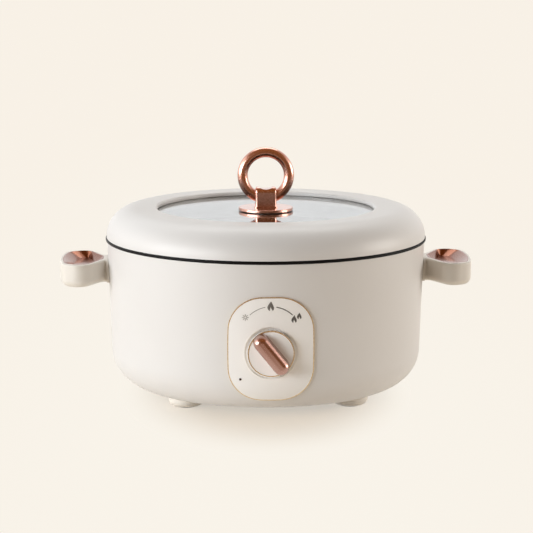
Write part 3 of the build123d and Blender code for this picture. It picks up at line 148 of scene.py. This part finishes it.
skin, given = group_of(
    "moulded_skin", [*TONES, ("Drift Scale", "Float"), ("Pit Scale", "Float"), *GLOSS], SURFACE
)
place = object_place(skin)
drift = noise(skin, place, given["Drift Scale"], detail=3.0)
pits = noise(skin, place, given["Pit Scale"], detail=2.0, Roughness=0.6)
flow = noise(skin, place, FLOW_SCALE, detail=2.0)
half_flow = put(skin, "ShaderNodeMath", {0: flow, 1: 0.5}, operation="MULTIPLY").outputs[0]
mean = put(skin, "ShaderNodeMath", {0: drift, 1: 0.5, 2: half_flow}, operation="MULTIPLY_ADD").outputs[0]
give(
    skin,
    blended(skin, ranged(skin, drift, 0.0, 1.0), given["Tone"], given["Second Tone"]),
    ranged(skin, mean, given["Rough Low"], given["Rough High"]),
    pits,
)
cream = finish(
    "cream_satin",
    skin,
    {"Tone": CREAM, "Second Tone": CREAM_SECOND, "Drift Scale": 9.0, **SPARKED},
    SPARK_DEPTH,
    IOR=PLASTIC_IOR,
)
dress(cream, "outer_shell", "bottom_cover")
# Ears and feet: the cream lightened and warmed as painted light
cream_with_painted_light = finish(
    "cream_painted_light",
    skin,
    {"Tone": PAINTED_LIGHT_CREAM, "Second Tone": PAINTED_LIGHT_CREAM_SECOND, "Drift Scale": 12.0, **SPARKED},
    SPARK_DEPTH,
    IOR=PLASTIC_IOR,
)
dress(cream_with_painted_light, "handle_left", "handle_right")
dress(cream_with_painted_light, "foot_front_left", "foot_front_right", "foot_rear_left", "foot_rear_right")

# Pot that hangs by its rim on the shell
# Pressed aluminium with a black non-stick coat, which holds fine mineral specks.
# Only the edge of its rim shows while the lid is on.
COAT_SCALE = 900.0  # grain of the sprayed coat
specks, given = group_of(
    "fine_specks",
    [
        ("Tone", "Color"),
        ("Speck Tone", "Color"),
        ("Speck Scale", "Float"),
        ("Speck Share", "Float"),
        *GLOSS,
    ],
    SURFACE,
)
place = object_place(specks)
cells = put(specks, "ShaderNodeTexVoronoi", {"Vector": place, "Scale": given["Speck Scale"]})
near_middle = {0: cells.outputs["Distance"], 1: given["Speck Share"]}
speck = put(specks, "ShaderNodeMath", near_middle, operation="LESS_THAN").outputs[0]
coat = noise(specks, place, COAT_SCALE, detail=3.0)
give(
    specks,
    blended(specks, speck, given["Tone"], given["Speck Tone"]),
    ranged(specks, coat, given["Rough Low"], given["Rough High"]),
    coat,
)
black_coat = finish(
    "black_non_stick",
    specks,
    {
        "Tone": (0.006, 0.006, 0.006, 1.0),
        "Speck Tone": (0.035, 0.035, 0.037, 1.0),
        "Speck Scale": 620.0,
        "Speck Share": 0.16,
        "Rough Low": 0.3,
        "Rough High": 0.45,
    },
    pit_depth=0.00001,
    Specular_IOR_Level=0.08,
)
dress(black_coat, "inner_pot")

# Heater, its shield and the parts between pot and cover
# Steel sheath, posts and shield with the fine lines of drawn and rolled metal.
# The seals and the holder of the cut-off are pressed ceramic.
HAZE_SCALE = 45.0  # slow change of a metal's tone


def stretched(tree, place, stretch):
    """Place with each of its axes multiplied."""
    scaled = put(tree, "ShaderNodeVectorMath", {0: place, 1: stretch}, operation="MULTIPLY")
    return scaled.outputs["Vector"]


metal, given = group_of(
    "worked_metal", [*TONES, ("Line Scale", "Float"), ("Stretch", "Vector"), *GLOSS], SURFACE
)
place = object_place(metal)
pulled = stretched(metal, place, given["Stretch"])
lines = noise(metal, pulled, given["Line Scale"], detail=4.0, Roughness=0.55)
haze = noise(metal, place, HAZE_SCALE, detail=2.0)
give(
    metal,
    blended(metal, ranged(metal, haze, 0.0, 1.0), given["Tone"], given["Second Tone"]),
    ranged(metal, lines, given["Rough Low"], given["Rough High"]),
    lines,
)
steel = finish(
    "drawn_steel",
    metal,
    {
        "Tone": (0.56, 0.56, 0.57, 1.0),
        "Second Tone": (0.48, 0.48, 0.49, 1.0),
        "Line Scale": 900.0,
        "Stretch": (1.0, 1.0, 0.08),
        "Rough Low": 0.24,
        "Rough High": 0.4,
    },
    pit_depth=0.00001,
    Metallic=1.0,
)
dress(steel, "heat_shield", "tie_posts", "shield_clips", "heater_tube", "heater_pins", "thermal_cutoff")
dress(steel, "panel_screws", "handle_screws", "regulator_nut", "regulator_shaft", "inlet_nuts")
dress(steel, "lid_handle_washer", "lid_handle_bolt")
ceramic = finish(
    "pressed_ceramic",
    skin,
    {
        "Tone": (0.78, 0.76, 0.70, 1.0),
        "Second Tone": (0.70, 0.67, 0.60, 1.0),
        "Drift Scale": 60.0,
        "Pit Scale": 1500.0,
        "Rough Low": 0.6,
        "Rough High": 0.8,
    },
    pit_depth=0.00004,
)
dress(ceramic, "heater_seals", "cutoff_holder")

# Leads inside the body
# Silicone covered wire in the usual brown, blue and green.
# They join the inlet, the regulator, the cut-off and the heater, and the green one earths the pot.
SLEEVE = {"Drift Scale": 120.0, "Pit Scale": 1800.0, "Rough Low": 0.5, "Rough High": 0.65}
SLEEVE_DEPTH = 0.00003
SLEEVE_SHADE = 0.8  # second tone over the first
for name, tone, leads in (
    ("brown_lead", (0.11, 0.045, 0.02), ("lead_live", "lead_switched", "lead_heater")),
    ("blue_lead", (0.02, 0.09, 0.36), ("lead_neutral",)),
    ("green_lead", (0.08, 0.30, 0.05), ("lead_earth",)),
):
    shaded = [SLEEVE_SHADE * part for part in tone]
    tones = {"Tone": (*tone, 1.0), "Second Tone": (*shaded, 1.0)}
    sleeve = finish(name, skin, {**tones, **SLEEVE}, SLEEVE_DEPTH)
    dress(sleeve, *leads)

# Cover screws
# Steel pan heads with a cross recess, driven up through the cover into the posts.
# The same kind of head is on the screws under the lid and beside the power inlet.
WELD_REACH = 1e-7
SCREW_RING, SCREW_FACE = 73, 15  # points round a screw, and from its middle to the head's edge
FACE_SHARE = 0.94  # how far the domed face reaches, over the head's radius
DOME_FALL = 0.3  # how far the dome falls at the head's radius, over the head's thickness
SIDE_SHARE = 0.62  # where the head's upright side ends, over its thickness
POINT_SHARE = 0.6  # blunt point over the shank's radius
CROSS_HALF, CROSS_RAMP = 0.17, 0.06  # half width of a bar and its sloping side, over the head's radius
CROSS_REACH, CROSS_END = 0.62, 0.12  # length of a bar and its sloping end, likewise
CROSS_DEPTH = 0.55  # over the head's thickness
COVER_SCREW = {"head_r": 0.0038, "head_t": 0.0022, "shank_r": 0.002}
DOWN = (0, 0, -1)


def merged(name, grids, body, material):
    """One mesh from grids of points, each with its rows and columns joined to quads."""
    points, faces, start = [], [], 0
    for grid in grids:
        rows, columns = grid.shape[:2]
        index = start + np.arange(rows * columns).reshape(rows, columns)
        corners = (index[:-1, :-1], index[1:, :-1], index[1:, 1:], index[:-1, 1:])
        faces.append(np.stack(corners, axis=-1).reshape(-1, 4))
        points.append(grid.reshape(-1, 3))
        start += rows * columns
    mesh = bpy.data.meshes.new(name)
    mesh.from_pydata(np.concatenate(points).tolist(), [], np.concatenate(faces).tolist())
    mesh.polygons.foreach_set("use_smooth", np.ones(len(mesh.polygons), bool))
    piece = bpy.data.objects.new(name, mesh)
    bpy.context.scene.collection.objects.link(piece)
    piece.data.materials.append(material)
    joined = piece.modifiers.new("joined", "WELD")
    joined.merge_threshold = WELD_REACH
    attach(piece, body)
    return piece


def cross_screw(seat, out, length, turn, head_r, head_t, shank_r):
    """Round profile carried about the screw's axis: a domed head with a cross sunk in it, then the shank.

    The dome falls with the square of the radius, and the cross is two bars whose sides ramp down.
    """
    ring = np.linspace(0.0, 2 * np.pi, SCREW_RING)
    face_r = head_r * np.linspace(0.0, FACE_SHARE, SCREW_FACE)
    face_h = head_t * (1.0 - DOME_FALL * (face_r / head_r) ** 2)
    side_r = np.array([head_r, head_r, shank_r, shank_r, POINT_SHARE * shank_r, 0.0])
    side_h = np.array([SIDE_SHARE * head_t, 0.0, 0.0, -length + shank_r, -length, -length])
    radius, rise = np.concatenate([face_r, side_r]), np.concatenate([face_h, side_h])
    angle, r = np.meshgrid(ring + turn, radius)
    bar = np.minimum(np.abs(r * np.cos(ring)), np.abs(r * np.sin(ring)))
    inside_bar = np.clip((CROSS_HALF * head_r - bar) / (CROSS_RAMP * head_r), 0, 1)
    inside_end = np.clip((CROSS_REACH * head_r - r) / (CROSS_END * head_r), 0, 1)
    on_face = (np.arange(len(radius)) < len(face_r))[:, None]
    height = rise[:, None] - CROSS_DEPTH * head_t * inside_bar * inside_end * on_face
    out = np.asarray(out, float)
    side = np.array([1.0, 0.0, 0.0])
    up = np.cross(out, side)
    across, along = r * np.cos(angle), r * np.sin(angle)
    return np.asarray(seat) + across[..., None] * side + along[..., None] * up + height[..., None] * out


low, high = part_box("base_screws")
ring_r = high.x - COVER_SCREW["head_r"]
seat_z = low.z + COVER_SCREW["head_t"]
heads = [
    cross_screw((x * ring_r, y * ring_r, seat_z), DOWN, high.z - seat_z, turn, **COVER_SCREW)
    for x, y, turn in ((1, 1, 0.3), (-1, 1, 1.1), (-1, -1, 0.7), (1, -1, 0.1))
]
cover_screws = merged("cover_screws", heads, "base", steel)
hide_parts("base_screws")

# Foot pads
# Moulded rubber discs pressed into the feet, matte and a little dusty.
rubber = finish(
    "pad_rubber",
    specks,
    {
        "Tone": (0.03, 0.03, 0.03, 1.0),
        "Speck Tone": (0.06, 0.058, 0.055, 1.0),
        "Speck Scale": 900.0,
        "Speck Share": 0.12,
        "Rough Low": 0.7,
        "Rough High": 0.85,
    },
    pit_depth=0.00006,
)
dress(rubber, "foot_pad_front_left", "foot_pad_front_right", "foot_pad_rear_left", "foot_pad_rear_right")

# Control panel
# A curved cream plate, screwed on from inside the body, with a champagne gold line pressed in round it.
# Heat marks are pad printed in warm grey that darkens from low to high.
NO_STRETCH = (1.0, 1.0, 1.0)  # for a metal whose grain has no direction
pearl = finish(
    "pearl_cream",
    skin,
    {
        "Tone": (0.890, 0.866, 0.838, 1.0),
        "Second Tone": (0.870, 0.842, 0.808, 1.0),
        "Drift Scale": 14.0,
        "Pit Scale": 2600.0,
        "Rough Low": 0.28,
        "Rough High": 0.38,
    },
    pit_depth=0.000015,
    IOR=1.49,
)
dress(pearl, "control_panel")
gold = finish(
    "champagne_gold",
    metal,
    {
        "Tone": (0.68, 0.50, 0.27, 1.0),
        "Second Tone": (0.62, 0.44, 0.22, 1.0),
        "Line Scale": 1500.0,
        "Stretch": NO_STRETCH,
        "Rough Low": 0.22,
        "Rough High": 0.34,
    },
    pit_depth=0.000005,
    Metallic=1.0,
)
dress(gold, "panel_trim", "knob_ring")
lens = finish(
    "smoked_lens",
    skin,
    {
        "Tone": (0.035, 0.012, 0.006, 1.0),
        "Second Tone": (0.05, 0.016, 0.008, 1.0),
        "Drift Scale": 300.0,
        "Pit Scale": 900.0,
        "Rough Low": 0.08,
        "Rough High": 0.14,
    },
    pit_depth=0.000002,
)
dress(lens, "indicator_lens", "indicator_lamp")

WALL_DRAFT = math.radians(2.0)  # lean of the body's wall
BEND_X, BEND_Z = 0.111021, 0.042  # middle of the bend at the wall's foot
PANEL_R = 0.036  # from there to the panel's front
INK_PROUD = 0.00006  # ink's front before the panel
INK_SHARE = 0.9  # film's thickness over that
PALE_INK = (0.36, 0.33, 0.29, 1.0)
DARK_INK = (0.062, 0.053, 0.045, 1.0)
PALE_X, DARK_X = -0.024, 0.004  # the ink darkens from the first to the second
INK_SCALE = 1800.0  # mottle of the print
INK_THIN = 0.12  # how much of the cream shows through at most
INK_ROUGH_LOW, INK_ROUGH_HIGH = 0.4, 0.55
ARC_R, ARC_Z = 0.0268, 0.0800
ARCS = ((-44, -11, 0.00058), (10, 45, 0.00084))  # first and last angle, and width
RAYS_X, RAYS_Z = -0.0226, 0.0970
RAY_TURN = 45  # degrees from one ray to the next
RAY_NEAR, RAY_FAR, RAY_WIDTH = 0.0006, 0.0031, 0.00075
RAY_TAPER = 0.12  # part of a half wave left off at each end
FLAMES = ((0.0, 0.1075, 0.0082), (0.0205, 0.0956, 0.0066), (0.0250, 0.0982, 0.0056))  # place and height
FLAME_HALF = 0.36  # half width over height
FLAME_UP = (0.0, 0.1, 0.3, 0.5, 0.7, 0.85, 1.0)
FLAME_SWELL = (0.5, 0.84, 1.0, 0.86, 0.54, 0.27, 0.0)  # share of the half width at those heights
NOTCH_HALF, NOTCH_TALL = 0.42, 0.4  # notch over the flame's half width and height
FLAME_LEAN, FLAME_SAG = 0.06, 0.05  # over the flame's height
FLAME_ROWS, FLAME_COLUMNS = 25, 7  # points up and across
BAND_ROWS = 3  # points across an arc or a ray
ARC_COLUMNS, RAY_COLUMNS = 40, 9  # points along them


def on_panel(x, z):
    """Point with y = -sqrt(r^2 - x^2), where r is the cone of the panel's front at z plus the ink."""
    beyond_bend = (PANEL_R + (z - BEND_Z) * math.sin(WALL_DRAFT)) / math.cos(WALL_DRAFT)
    radius = BEND_X + beyond_bend + INK_PROUD
    return np.stack([x, -np.sqrt(radius**2 - x**2), z], axis=-1)


def flame(x, z, tall):
    """Two halves of a flame. Across, each runs from the notch to the outside; up, the outside swells and
    closes to a point that leans, while the notch narrows to nothing. The foot of each half sags."""
    up = np.linspace(0.0, 1.0, FLAME_ROWS)[:, None]
    share = np.linspace(0.0, 1.0, FLAME_COLUMNS)
    wide = FLAME_HALF * tall * np.interp(up, FLAME_UP, FLAME_SWELL)
    notch = FLAME_HALF * tall * NOTCH_HALF * np.clip(1 - up / NOTCH_TALL, 0, 1)
    lean = FLAME_LEAN * tall * np.sin(np.pi * up)
    sag = FLAME_SAG * tall * (1 - up) * 4 * share * (1 - share)
    halves = []
    for side in (-1, 1):
        grid = on_panel(x + side * (notch + (wide - notch) * share) - lean, z + tall * (up - 0.5) - sag)
        halves.append(grid if side > 0 else grid[:, ::-1])
    return halves


def arc(first, last, width):
    """Band of a circle above the knob, between two angles from its top."""
    angle = np.radians(np.linspace(first, last, ARC_COLUMNS))[None, :]
    radius = (ARC_R + width * np.linspace(0.5, -0.5, BAND_ROWS))[:, None]
    return on_panel(radius * np.sin(angle), ARC_Z + radius * np.cos(angle))


def ray(turn):
    """Short bar that points away from the middle of the low mark, its width a part of a sine wave."""
    along = np.linspace(RAY_NEAR, RAY_FAR, RAY_COLUMNS)[None, :]
    half = 0.5 * RAY_WIDTH * np.sin(np.pi * np.linspace(RAY_TAPER, 1 - RAY_TAPER, RAY_COLUMNS))[None, :]
    across = half * np.linspace(1, -1, BAND_ROWS)[:, None]
    x = RAYS_X + along * math.sin(turn) + across * math.cos(turn)
    z = RAYS_Z + along * math.cos(turn) - across * math.sin(turn)
    return on_panel(x, z)


ink = bpy.data.materials.new("printed_ink")
tree = bare_tree(ink)
place = object_place(tree)
across = put(tree, "ShaderNodeSeparateXYZ", {"Vector": place}).outputs["X"]
run = put(tree, "ShaderNodeMapRange", {"Value": across, "From Min": PALE_X, "From Max": DARK_X})
mottle = noise(tree, place, INK_SCALE, detail=2.0)
shade = blended(tree, run.outputs["Result"], PALE_INK, DARK_INK)
thin = blended(tree, ranged(tree, mottle, 0.0, INK_THIN), shade, CREAM)
uneven = ranged(tree, mottle, INK_ROUGH_LOW, INK_ROUGH_HIGH)
shader = put(tree, "ShaderNodeBsdfPrincipled", {"Base Color": thin, "Roughness": uneven})
put(tree, "ShaderNodeOutputMaterial", {"Surface": shader.outputs["BSDF"]})

marks = [ray(turn) for turn in np.radians(np.arange(0, 360, RAY_TURN))]
marks += [arc(*band) for band in ARCS]
marks += [half for spot in FLAMES for half in flame(*spot)]
dial_marks = merged("dial_marks", marks, "base", ink)
ink_film = dial_marks.modifiers.new("ink film", "SOLIDIFY")
ink_film.thickness = INK_SHARE * INK_PROUD
ink_film.offset = -1.0

# Heat knob and regulator
# A cream skirt with a gold ring, and a straight grip in satin rose gold plating.
# The regulator behind it is a black housing clamped by its nut.
dress(pearl, "knob_skirt")
rose_satin = finish(
    "rose_gold_satin",
    metal,
    {
        "Tone": (0.50, 0.300, 0.255, 1.0),
        "Second Tone": (0.45, 0.260, 0.215, 1.0),
        "Line Scale": 2200.0,
        "Stretch": NO_STRETCH,
        "Rough Low": 0.2,
        "Rough High": 0.28,
    },
    pit_depth=0.000012,
    Metallic=1.0,
    Coat_Weight=0.4,
    Coat_Roughness=0.25,
)
dress(rose_satin, "knob_grip")
black_plastic = finish(
    "black_moulded",
    skin,
    {
        "Tone": (0.018, 0.018, 0.018, 1.0),
        "Second Tone": (0.026, 0.025, 0.024, 1.0),
        "Drift Scale": 30.0,
        "Pit Scale": 1600.0,
        "Rough Low": 0.45,
        "Rough High": 0.6,
    },
    pit_depth=0.00005,
)
dress(black_plastic, "regulator_body", "inlet_housing")

# Thumb dishes in the ear handles
# Pressed rose gold plated metal, set flush into the cream; its tone is darkened far below the ring's plating
# as painted shade for the dish's hollow.
# Its clear lacquer and pale glancing shine whiten the walls that slope away.
rose_polished_painted_shade = finish(
    "rose_gold_polished_painted_shade",
    metal,
    {
        # Much darker than the same plating on the ring: painted shade in the dish
        "Tone": (0.20, 0.070, 0.035, 1.0),
        "Second Tone": (0.18, 0.060, 0.030, 1.0),
        "Line Scale": 1300.0,
        "Stretch": NO_STRETCH,
        "Rough Low": 0.25,
        "Rough High": 0.32,
    },
    pit_depth=0.000003,
    Metallic=1.0,
    Specular_Tint=(0.95, 0.85, 0.82, 1.0),
    Coat_Weight=0.45,
    Coat_Roughness=0.08,
)
dress(rose_polished_painted_shade, "handle_dish_left", "handle_dish_right")

# Power inlet
# A black shrouded socket with three brass blades, on two ears held by screws.
INLET_SCREW = {"head_r": 0.0032, "head_t": 0.0016, "shank_r": 0.00175}
BACK = (0, 1, 0)
brass = finish(
    "rolled_brass",
    metal,
    {
        "Tone": (0.70, 0.54, 0.24, 1.0),
        "Second Tone": (0.62, 0.46, 0.19, 1.0),
        "Line Scale": 1200.0,
        "Stretch": (1.0, 0.06, 1.0),
        "Rough Low": 0.2,
        "Rough High": 0.34,
    },
    pit_depth=0.00001,
    Metallic=1.0,
)
dress(brass, "inlet_blades")
low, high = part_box("inlet_screws")
side_x = high.x - INLET_SCREW["head_r"]
seat_y = high.y - INLET_SCREW["head_t"]
middle_z = (low.z + high.z) / 2
heads = [
    cross_screw((side * side_x, seat_y, middle_z), BACK, seat_y - low.y, turn, **INLET_SCREW)
    for side, turn in ((1, 0.5), (-1, 1.2))
]
inlet_screw_heads = merged("inlet_screw_heads", heads, "base", steel)
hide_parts("inlet_screws")

# Lid
# A cream rim with a wide rounded shoulder holds a flat tempered glass window in a silicone gasket.
# A liner screwed on from below closes the rim and centres the lid in the pot's mouth.
WAVE_SCALE, WAVE_DEPTH = 18.0, 0.00002  # slow waves that tempering leaves in the glass
SMEAR_SCALE = 70.0
GLASS_ROUGH_LOW, GLASS_ROUGH_HIGH = 0.005, 0.03
LINER_SCREW = {"head_r": 0.0036, "head_t": 0.0018, "shank_r": 0.0015}
LINER_SCREW_STEP = 45  # degrees from one screw to the next
LINER_SCREW_TURN = 1.7  # how each cross is turned, over its screw's angle
dress(cream, "lid_rim", "lid_liner")
silicone = finish(
    "clear_silicone",
    skin,
    {
        "Tone": (0.62, 0.60, 0.56, 1.0),
        "Second Tone": (0.55, 0.53, 0.49, 1.0),
        "Drift Scale": 40.0,
        "Pit Scale": 1200.0,
        "Rough Low": 0.45,
        "Rough High": 0.6,
    },
    pit_depth=0.00003,
)
dress(silicone, "glass_gasket", "lid_handle_gasket")
glass = bpy.data.materials.new("tempered_glass")
tree = bare_tree(glass)
place = object_place(tree)
wave = noise(tree, place, WAVE_SCALE, detail=1.0)
smear = noise(tree, place, SMEAR_SCALE, detail=4.0)
bump = put(tree, "ShaderNodeBump", {"Height": wave, "Distance": WAVE_DEPTH, "Strength": 1.0})
shader = put(
    tree,
    "ShaderNodeBsdfPrincipled",
    {
        "Base Color": (0.90, 0.94, 0.95, 1.0),
        "Roughness": ranged(tree, smear, GLASS_ROUGH_LOW, GLASS_ROUGH_HIGH),
        "Transmission Weight": 1.0,
        "IOR": 1.52,
        "Normal": bump.outputs["Normal"],
    },
)
put(tree, "ShaderNodeOutputMaterial", {"Surface": shader.outputs["BSDF"]})
dress(glass, "lid_glass")
low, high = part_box("lid_screws")
ring_r = high.x - LINER_SCREW["head_r"]
seat_z = low.z + LINER_SCREW["head_t"]
heads = [
    cross_screw(
        (ring_r * math.cos(angle), ring_r * math.sin(angle), seat_z),
        DOWN,
        high.z - seat_z,
        LINER_SCREW_TURN * angle,
        **LINER_SCREW,
    )
    for angle in np.radians(np.arange(0, 360, LINER_SCREW_STEP))
]
liner_screws = merged("liner_screws", heads, "lid", steel)
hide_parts("lid_screws")

# Ring handle
# Rose gold plated zinc: a thin stand bolted through the glass, a strap, and a ring that folds in it.
# It is finely brushed before it is plated, and a full coat of clear lacquer covers it.
rose_soft = finish(
    "rose_gold_soft",
    metal,
    {
        "Tone": (0.58, 0.315, 0.250, 1.0),
        "Second Tone": (0.53, 0.275, 0.210, 1.0),
        "Line Scale": 1700.0,
        "Stretch": NO_STRETCH,
        "Rough Low": 0.22,
        "Rough High": 0.3,
    },
    pit_depth=0.000003,
    Metallic=1.0,
    Specular_Tint=(0.80, 0.62, 0.56, 1.0),
    Coat_Weight=1.0,
    Coat_Roughness=0.12,
)
dress(rose_soft, "lid_handle_stand", "lid_handle_strap", "lid_handle_ring")

# Stage
# A pale cream table that runs back without an edge, so that it is also the background.
# It shows its own even glow with the pot's shadow left in it, and plating sees it darker towards the front.
BACKGROUND = (0.945, 0.898, 0.818, 1.0)
BACKGROUND_FAR = (0.940, 0.880, 0.795, 1.0)
SHADOW_TONE = (0.84, 0.68, 0.50, 1.0)
BOUNCE_NEAR = (1.0, 0.90, 0.77, 1.0)
BOUNCE_FAR = (0.62, 0.52, 0.41, 1.0)
MIRRORED_FRONT = (0.36, 0.165, 0.048, 1.0)
NEAR_STRETCH = (1.5, 0.8, 0.0)  # makes the rings round the pot ovals
FAR_STRETCH = (1.6, 0.3, 0.0)
FADE_SPAN = (0.15, 0.75)  # where the background goes to its far tone
BOUNCE_SPAN = (0.2, 0.6)
GLOW_SPAN, GLOW_NEAR = (0.10, 0.205), 0.54  # where the glow takes over, and its share before that
DIM_SPAN = (-0.9, -0.1)  # along Y
TABLE_SIDE, TABLE_FRONT, TABLE_BACK = 9, -6, 14


def eased(tree, value, start, end, low=0.0, high=1.0):
    """Smooth step from low to high while the value goes from start to end."""
    span = {"From Min": start, "From Max": end, "To Min": low, "To Max": high}
    ramp = put(tree, "ShaderNodeMapRange", {"Value": value, **span}, interpolation_type="SMOOTHSTEP")
    return ramp.outputs["Result"]


def away_from_pot(tree, place, stretch):
    """Distance from the pot's axis, with the place stretched first."""
    reach = put(tree, "ShaderNodeVectorMath", {0: stretched(tree, place, stretch)}, operation="LENGTH")
    return reach.outputs["Value"]


mesh = bpy.data.meshes.new("table")
corners = [
    (-TABLE_SIDE, TABLE_FRONT, 0),
    (TABLE_SIDE, TABLE_FRONT, 0),
    (TABLE_SIDE, TABLE_BACK, 0),
    (-TABLE_SIDE, TABLE_BACK, 0),
]
mesh.from_pydata(corners, [], [(0, 1, 2, 3)])
table = bpy.data.objects.new("table", mesh)
bpy.context.scene.collection.objects.link(table)
surface = bpy.data.materials.new("pale_table")
tree = bare_tree(surface)
place = object_place(tree)
away = away_from_pot(tree, place, NEAR_STRETCH)
fade = eased(tree, away_from_pot(tree, place, FAR_STRETCH), *FADE_SPAN)
pale = blended(tree, fade, BACKGROUND, BACKGROUND_FAR)
along_y = put(tree, "ShaderNodeSeparateXYZ", {"Vector": place}).outputs["Y"]
dim = blended(tree, eased(tree, along_y, *DIM_SPAN), MIRRORED_FRONT, BACKGROUND)
bounce = blended(tree, eased(tree, away, *BOUNCE_SPAN), BOUNCE_NEAR, BOUNCE_FAR)
path = put(tree, "ShaderNodeLightPath").outputs
seen_in = {0: path["Is Glossy Ray"], 1: path["Is Transmission Ray"]}
mirrors = put(tree, "ShaderNodeMath", seen_in, operation="MAXIMUM").outputs[0]
even = eased(tree, away, *GLOW_SPAN, GLOW_NEAR, 1.0)
shown = put(tree, "ShaderNodeMath", {0: path["Is Camera Ray"], 1: even}, operation="MULTIPLY").outputs[0]
share = put(tree, "ShaderNodeMath", {0: shown, 1: mirrors}, operation="MAXIMUM").outputs[0]
tone = blended(tree, path["Is Camera Ray"], bounce, SHADOW_TONE)
lit = put(tree, "ShaderNodeBsdfDiffuse", {"Color": tone}).outputs[0]
glow_tone = blended(tree, mirrors, pale, dim)
glow = put(tree, "ShaderNodeEmission", {"Color": glow_tone, "Strength": 1.0}).outputs[0]
mixed = put(tree, "ShaderNodeMixShader", {0: share, 1: lit, 2: glow}).outputs[0]
put(tree, "ShaderNodeOutputMaterial", {"Surface": mixed})
table.data.materials.append(surface)

# Studio light
# A wide softbox on the left is the key, a weaker one on the right lifts that edge, and one hangs behind.
# The room in front is dim, which gives the plating its dark core. White panels stand behind and at the sides.
ROOM_FRONT = (0.06, 0.045, 0.03, 1.0)
ROOM_BACK = (0.42, 0.405, 0.385, 1.0)
FRONT_LOW = (0.23, 0.125, 0.055, 1.0)
FRONT_HIGH = (0.32, 0.147, 0.043, 1.0)
BACK_PANEL = (1.0, 1.0, 1.0, 1.0)
LEFT_PANEL = (2.0, 1.95, 1.9, 1.0)
RIGHT_PANEL = (1.2, 1.1, 1.0, 1.0)
PANEL_STRENGTH = 1.15
ROOM_SPAN, BACK_SPAN = (-0.75, 0.3), (-0.3, 0.6)  # how far a direction leans to the back
RAISED_SPAN = (0.32, 0.55)
LEFT_SPAN, RIGHT_SPAN = (-0.66, -0.9), (0.7, 0.92)
LAMP_AWAY, AIM_Z = 2.6, 0.1
world = bpy.data.worlds.new("studio")
bpy.context.scene.world = world
tree = bare_tree(world)
direction = put(tree, "ShaderNodeTexCoord").outputs["Generated"]
way = put(tree, "ShaderNodeSeparateXYZ", {"Vector": direction}).outputs
room = blended(tree, eased(tree, way["Y"], *ROOM_SPAN), ROOM_FRONT, ROOM_BACK)
dark_front = blended(tree, eased(tree, way["Z"], *RAISED_SPAN), FRONT_LOW, FRONT_HIGH)
with_back = blended(tree, eased(tree, way["Y"], *BACK_SPAN), dark_front, BACK_PANEL)
with_left = blended(tree, eased(tree, way["X"], *LEFT_SPAN), with_back, LEFT_PANEL)
panels = blended(tree, eased(tree, way["X"], *RIGHT_SPAN), with_left, RIGHT_PANEL)
path = put(tree, "ShaderNodeLightPath").outputs
ambient = put(tree, "ShaderNodeBackground", {"Color": room, "Strength": 1.0}).outputs[0]
mirrored = put(tree, "ShaderNodeBackground", {"Color": panels, "Strength": PANEL_STRENGTH}).outputs[0]
backdrop = put(tree, "ShaderNodeBackground", {"Color": BACKGROUND, "Strength": 1.0}).outputs[0]
lights = put(tree, "ShaderNodeMixShader", {0: path["Is Glossy Ray"], 1: ambient, 2: mirrored}).outputs[0]
shown = put(tree, "ShaderNodeMixShader", {0: path["Is Camera Ray"], 1: lights, 2: backdrop}).outputs[0]
put(tree, "ShaderNodeOutputWorld", {"Surface": shown})


def softbox(name, azimuth, elevation, size, power, colour):
    """Area lamp at an azimuth from the front, aimed at the middle of the pot."""
    lamp = bpy.data.lights.new(name, "AREA")
    lamp.shape = "RECTANGLE"
    lamp.size, lamp.size_y = size
    lamp.energy = power
    lamp.color = colour
    box = bpy.data.objects.new(name, lamp)
    bpy.context.scene.collection.objects.link(box)
    turn, rise = math.radians(azimuth), math.radians(elevation)
    level = LAMP_AWAY * math.cos(rise)
    box.location = (level * math.sin(turn), -level * math.cos(turn), AIM_Z + LAMP_AWAY * math.sin(rise))
    box.rotation_euler = (math.radians(90 - elevation), 0, turn)


softbox("key_softbox", azimuth=-60, elevation=10, size=(2.4, 1.0), power=69, colour=(0.91, 0.955, 1.0))
softbox("fill_softbox", azimuth=86, elevation=10, size=(1.4, 1.0), power=33, colour=(1.0, 0.97, 0.935))
softbox("back_softbox", azimuth=180, elevation=64, size=(2.4, 1.4), power=30, colour=(1.0, 0.985, 0.965))

# Camera
# A long lens two metres away, a little to the left and above the lid.
SENSOR = 36.0  # millimetres
FRAME_PIXELS = 533
FOCAL_PIXELS = 2154.9
SHIFT_PIXELS = 0.73
CAMERA_AWAY, CAMERA_Z, CAMERA_REACH = 2.0, 0.4626, 60.0
CAMERA_TURN, CAMERA_DIP = math.radians(-1.8), math.radians(9.81)
camera_data = bpy.data.cameras.new("camera")
camera_data.sensor_width = SENSOR
camera_data.lens = FOCAL_PIXELS * SENSOR / FRAME_PIXELS
camera_data.shift_x = SHIFT_PIXELS / FRAME_PIXELS
camera_data.clip_end = CAMERA_REACH
camera = bpy.data.objects.new("camera", camera_data)
bpy.context.scene.collection.objects.link(camera)
camera.location = (CAMERA_AWAY * math.sin(CAMERA_TURN), -CAMERA_AWAY * math.cos(CAMERA_TURN), CAMERA_Z)
camera.rotation_euler = (math.pi / 2 - CAMERA_DIP, 0, CAMERA_TURN)
bpy.context.scene.camera = camera
bpy.context.scene.view_settings.view_transform = "Standard"
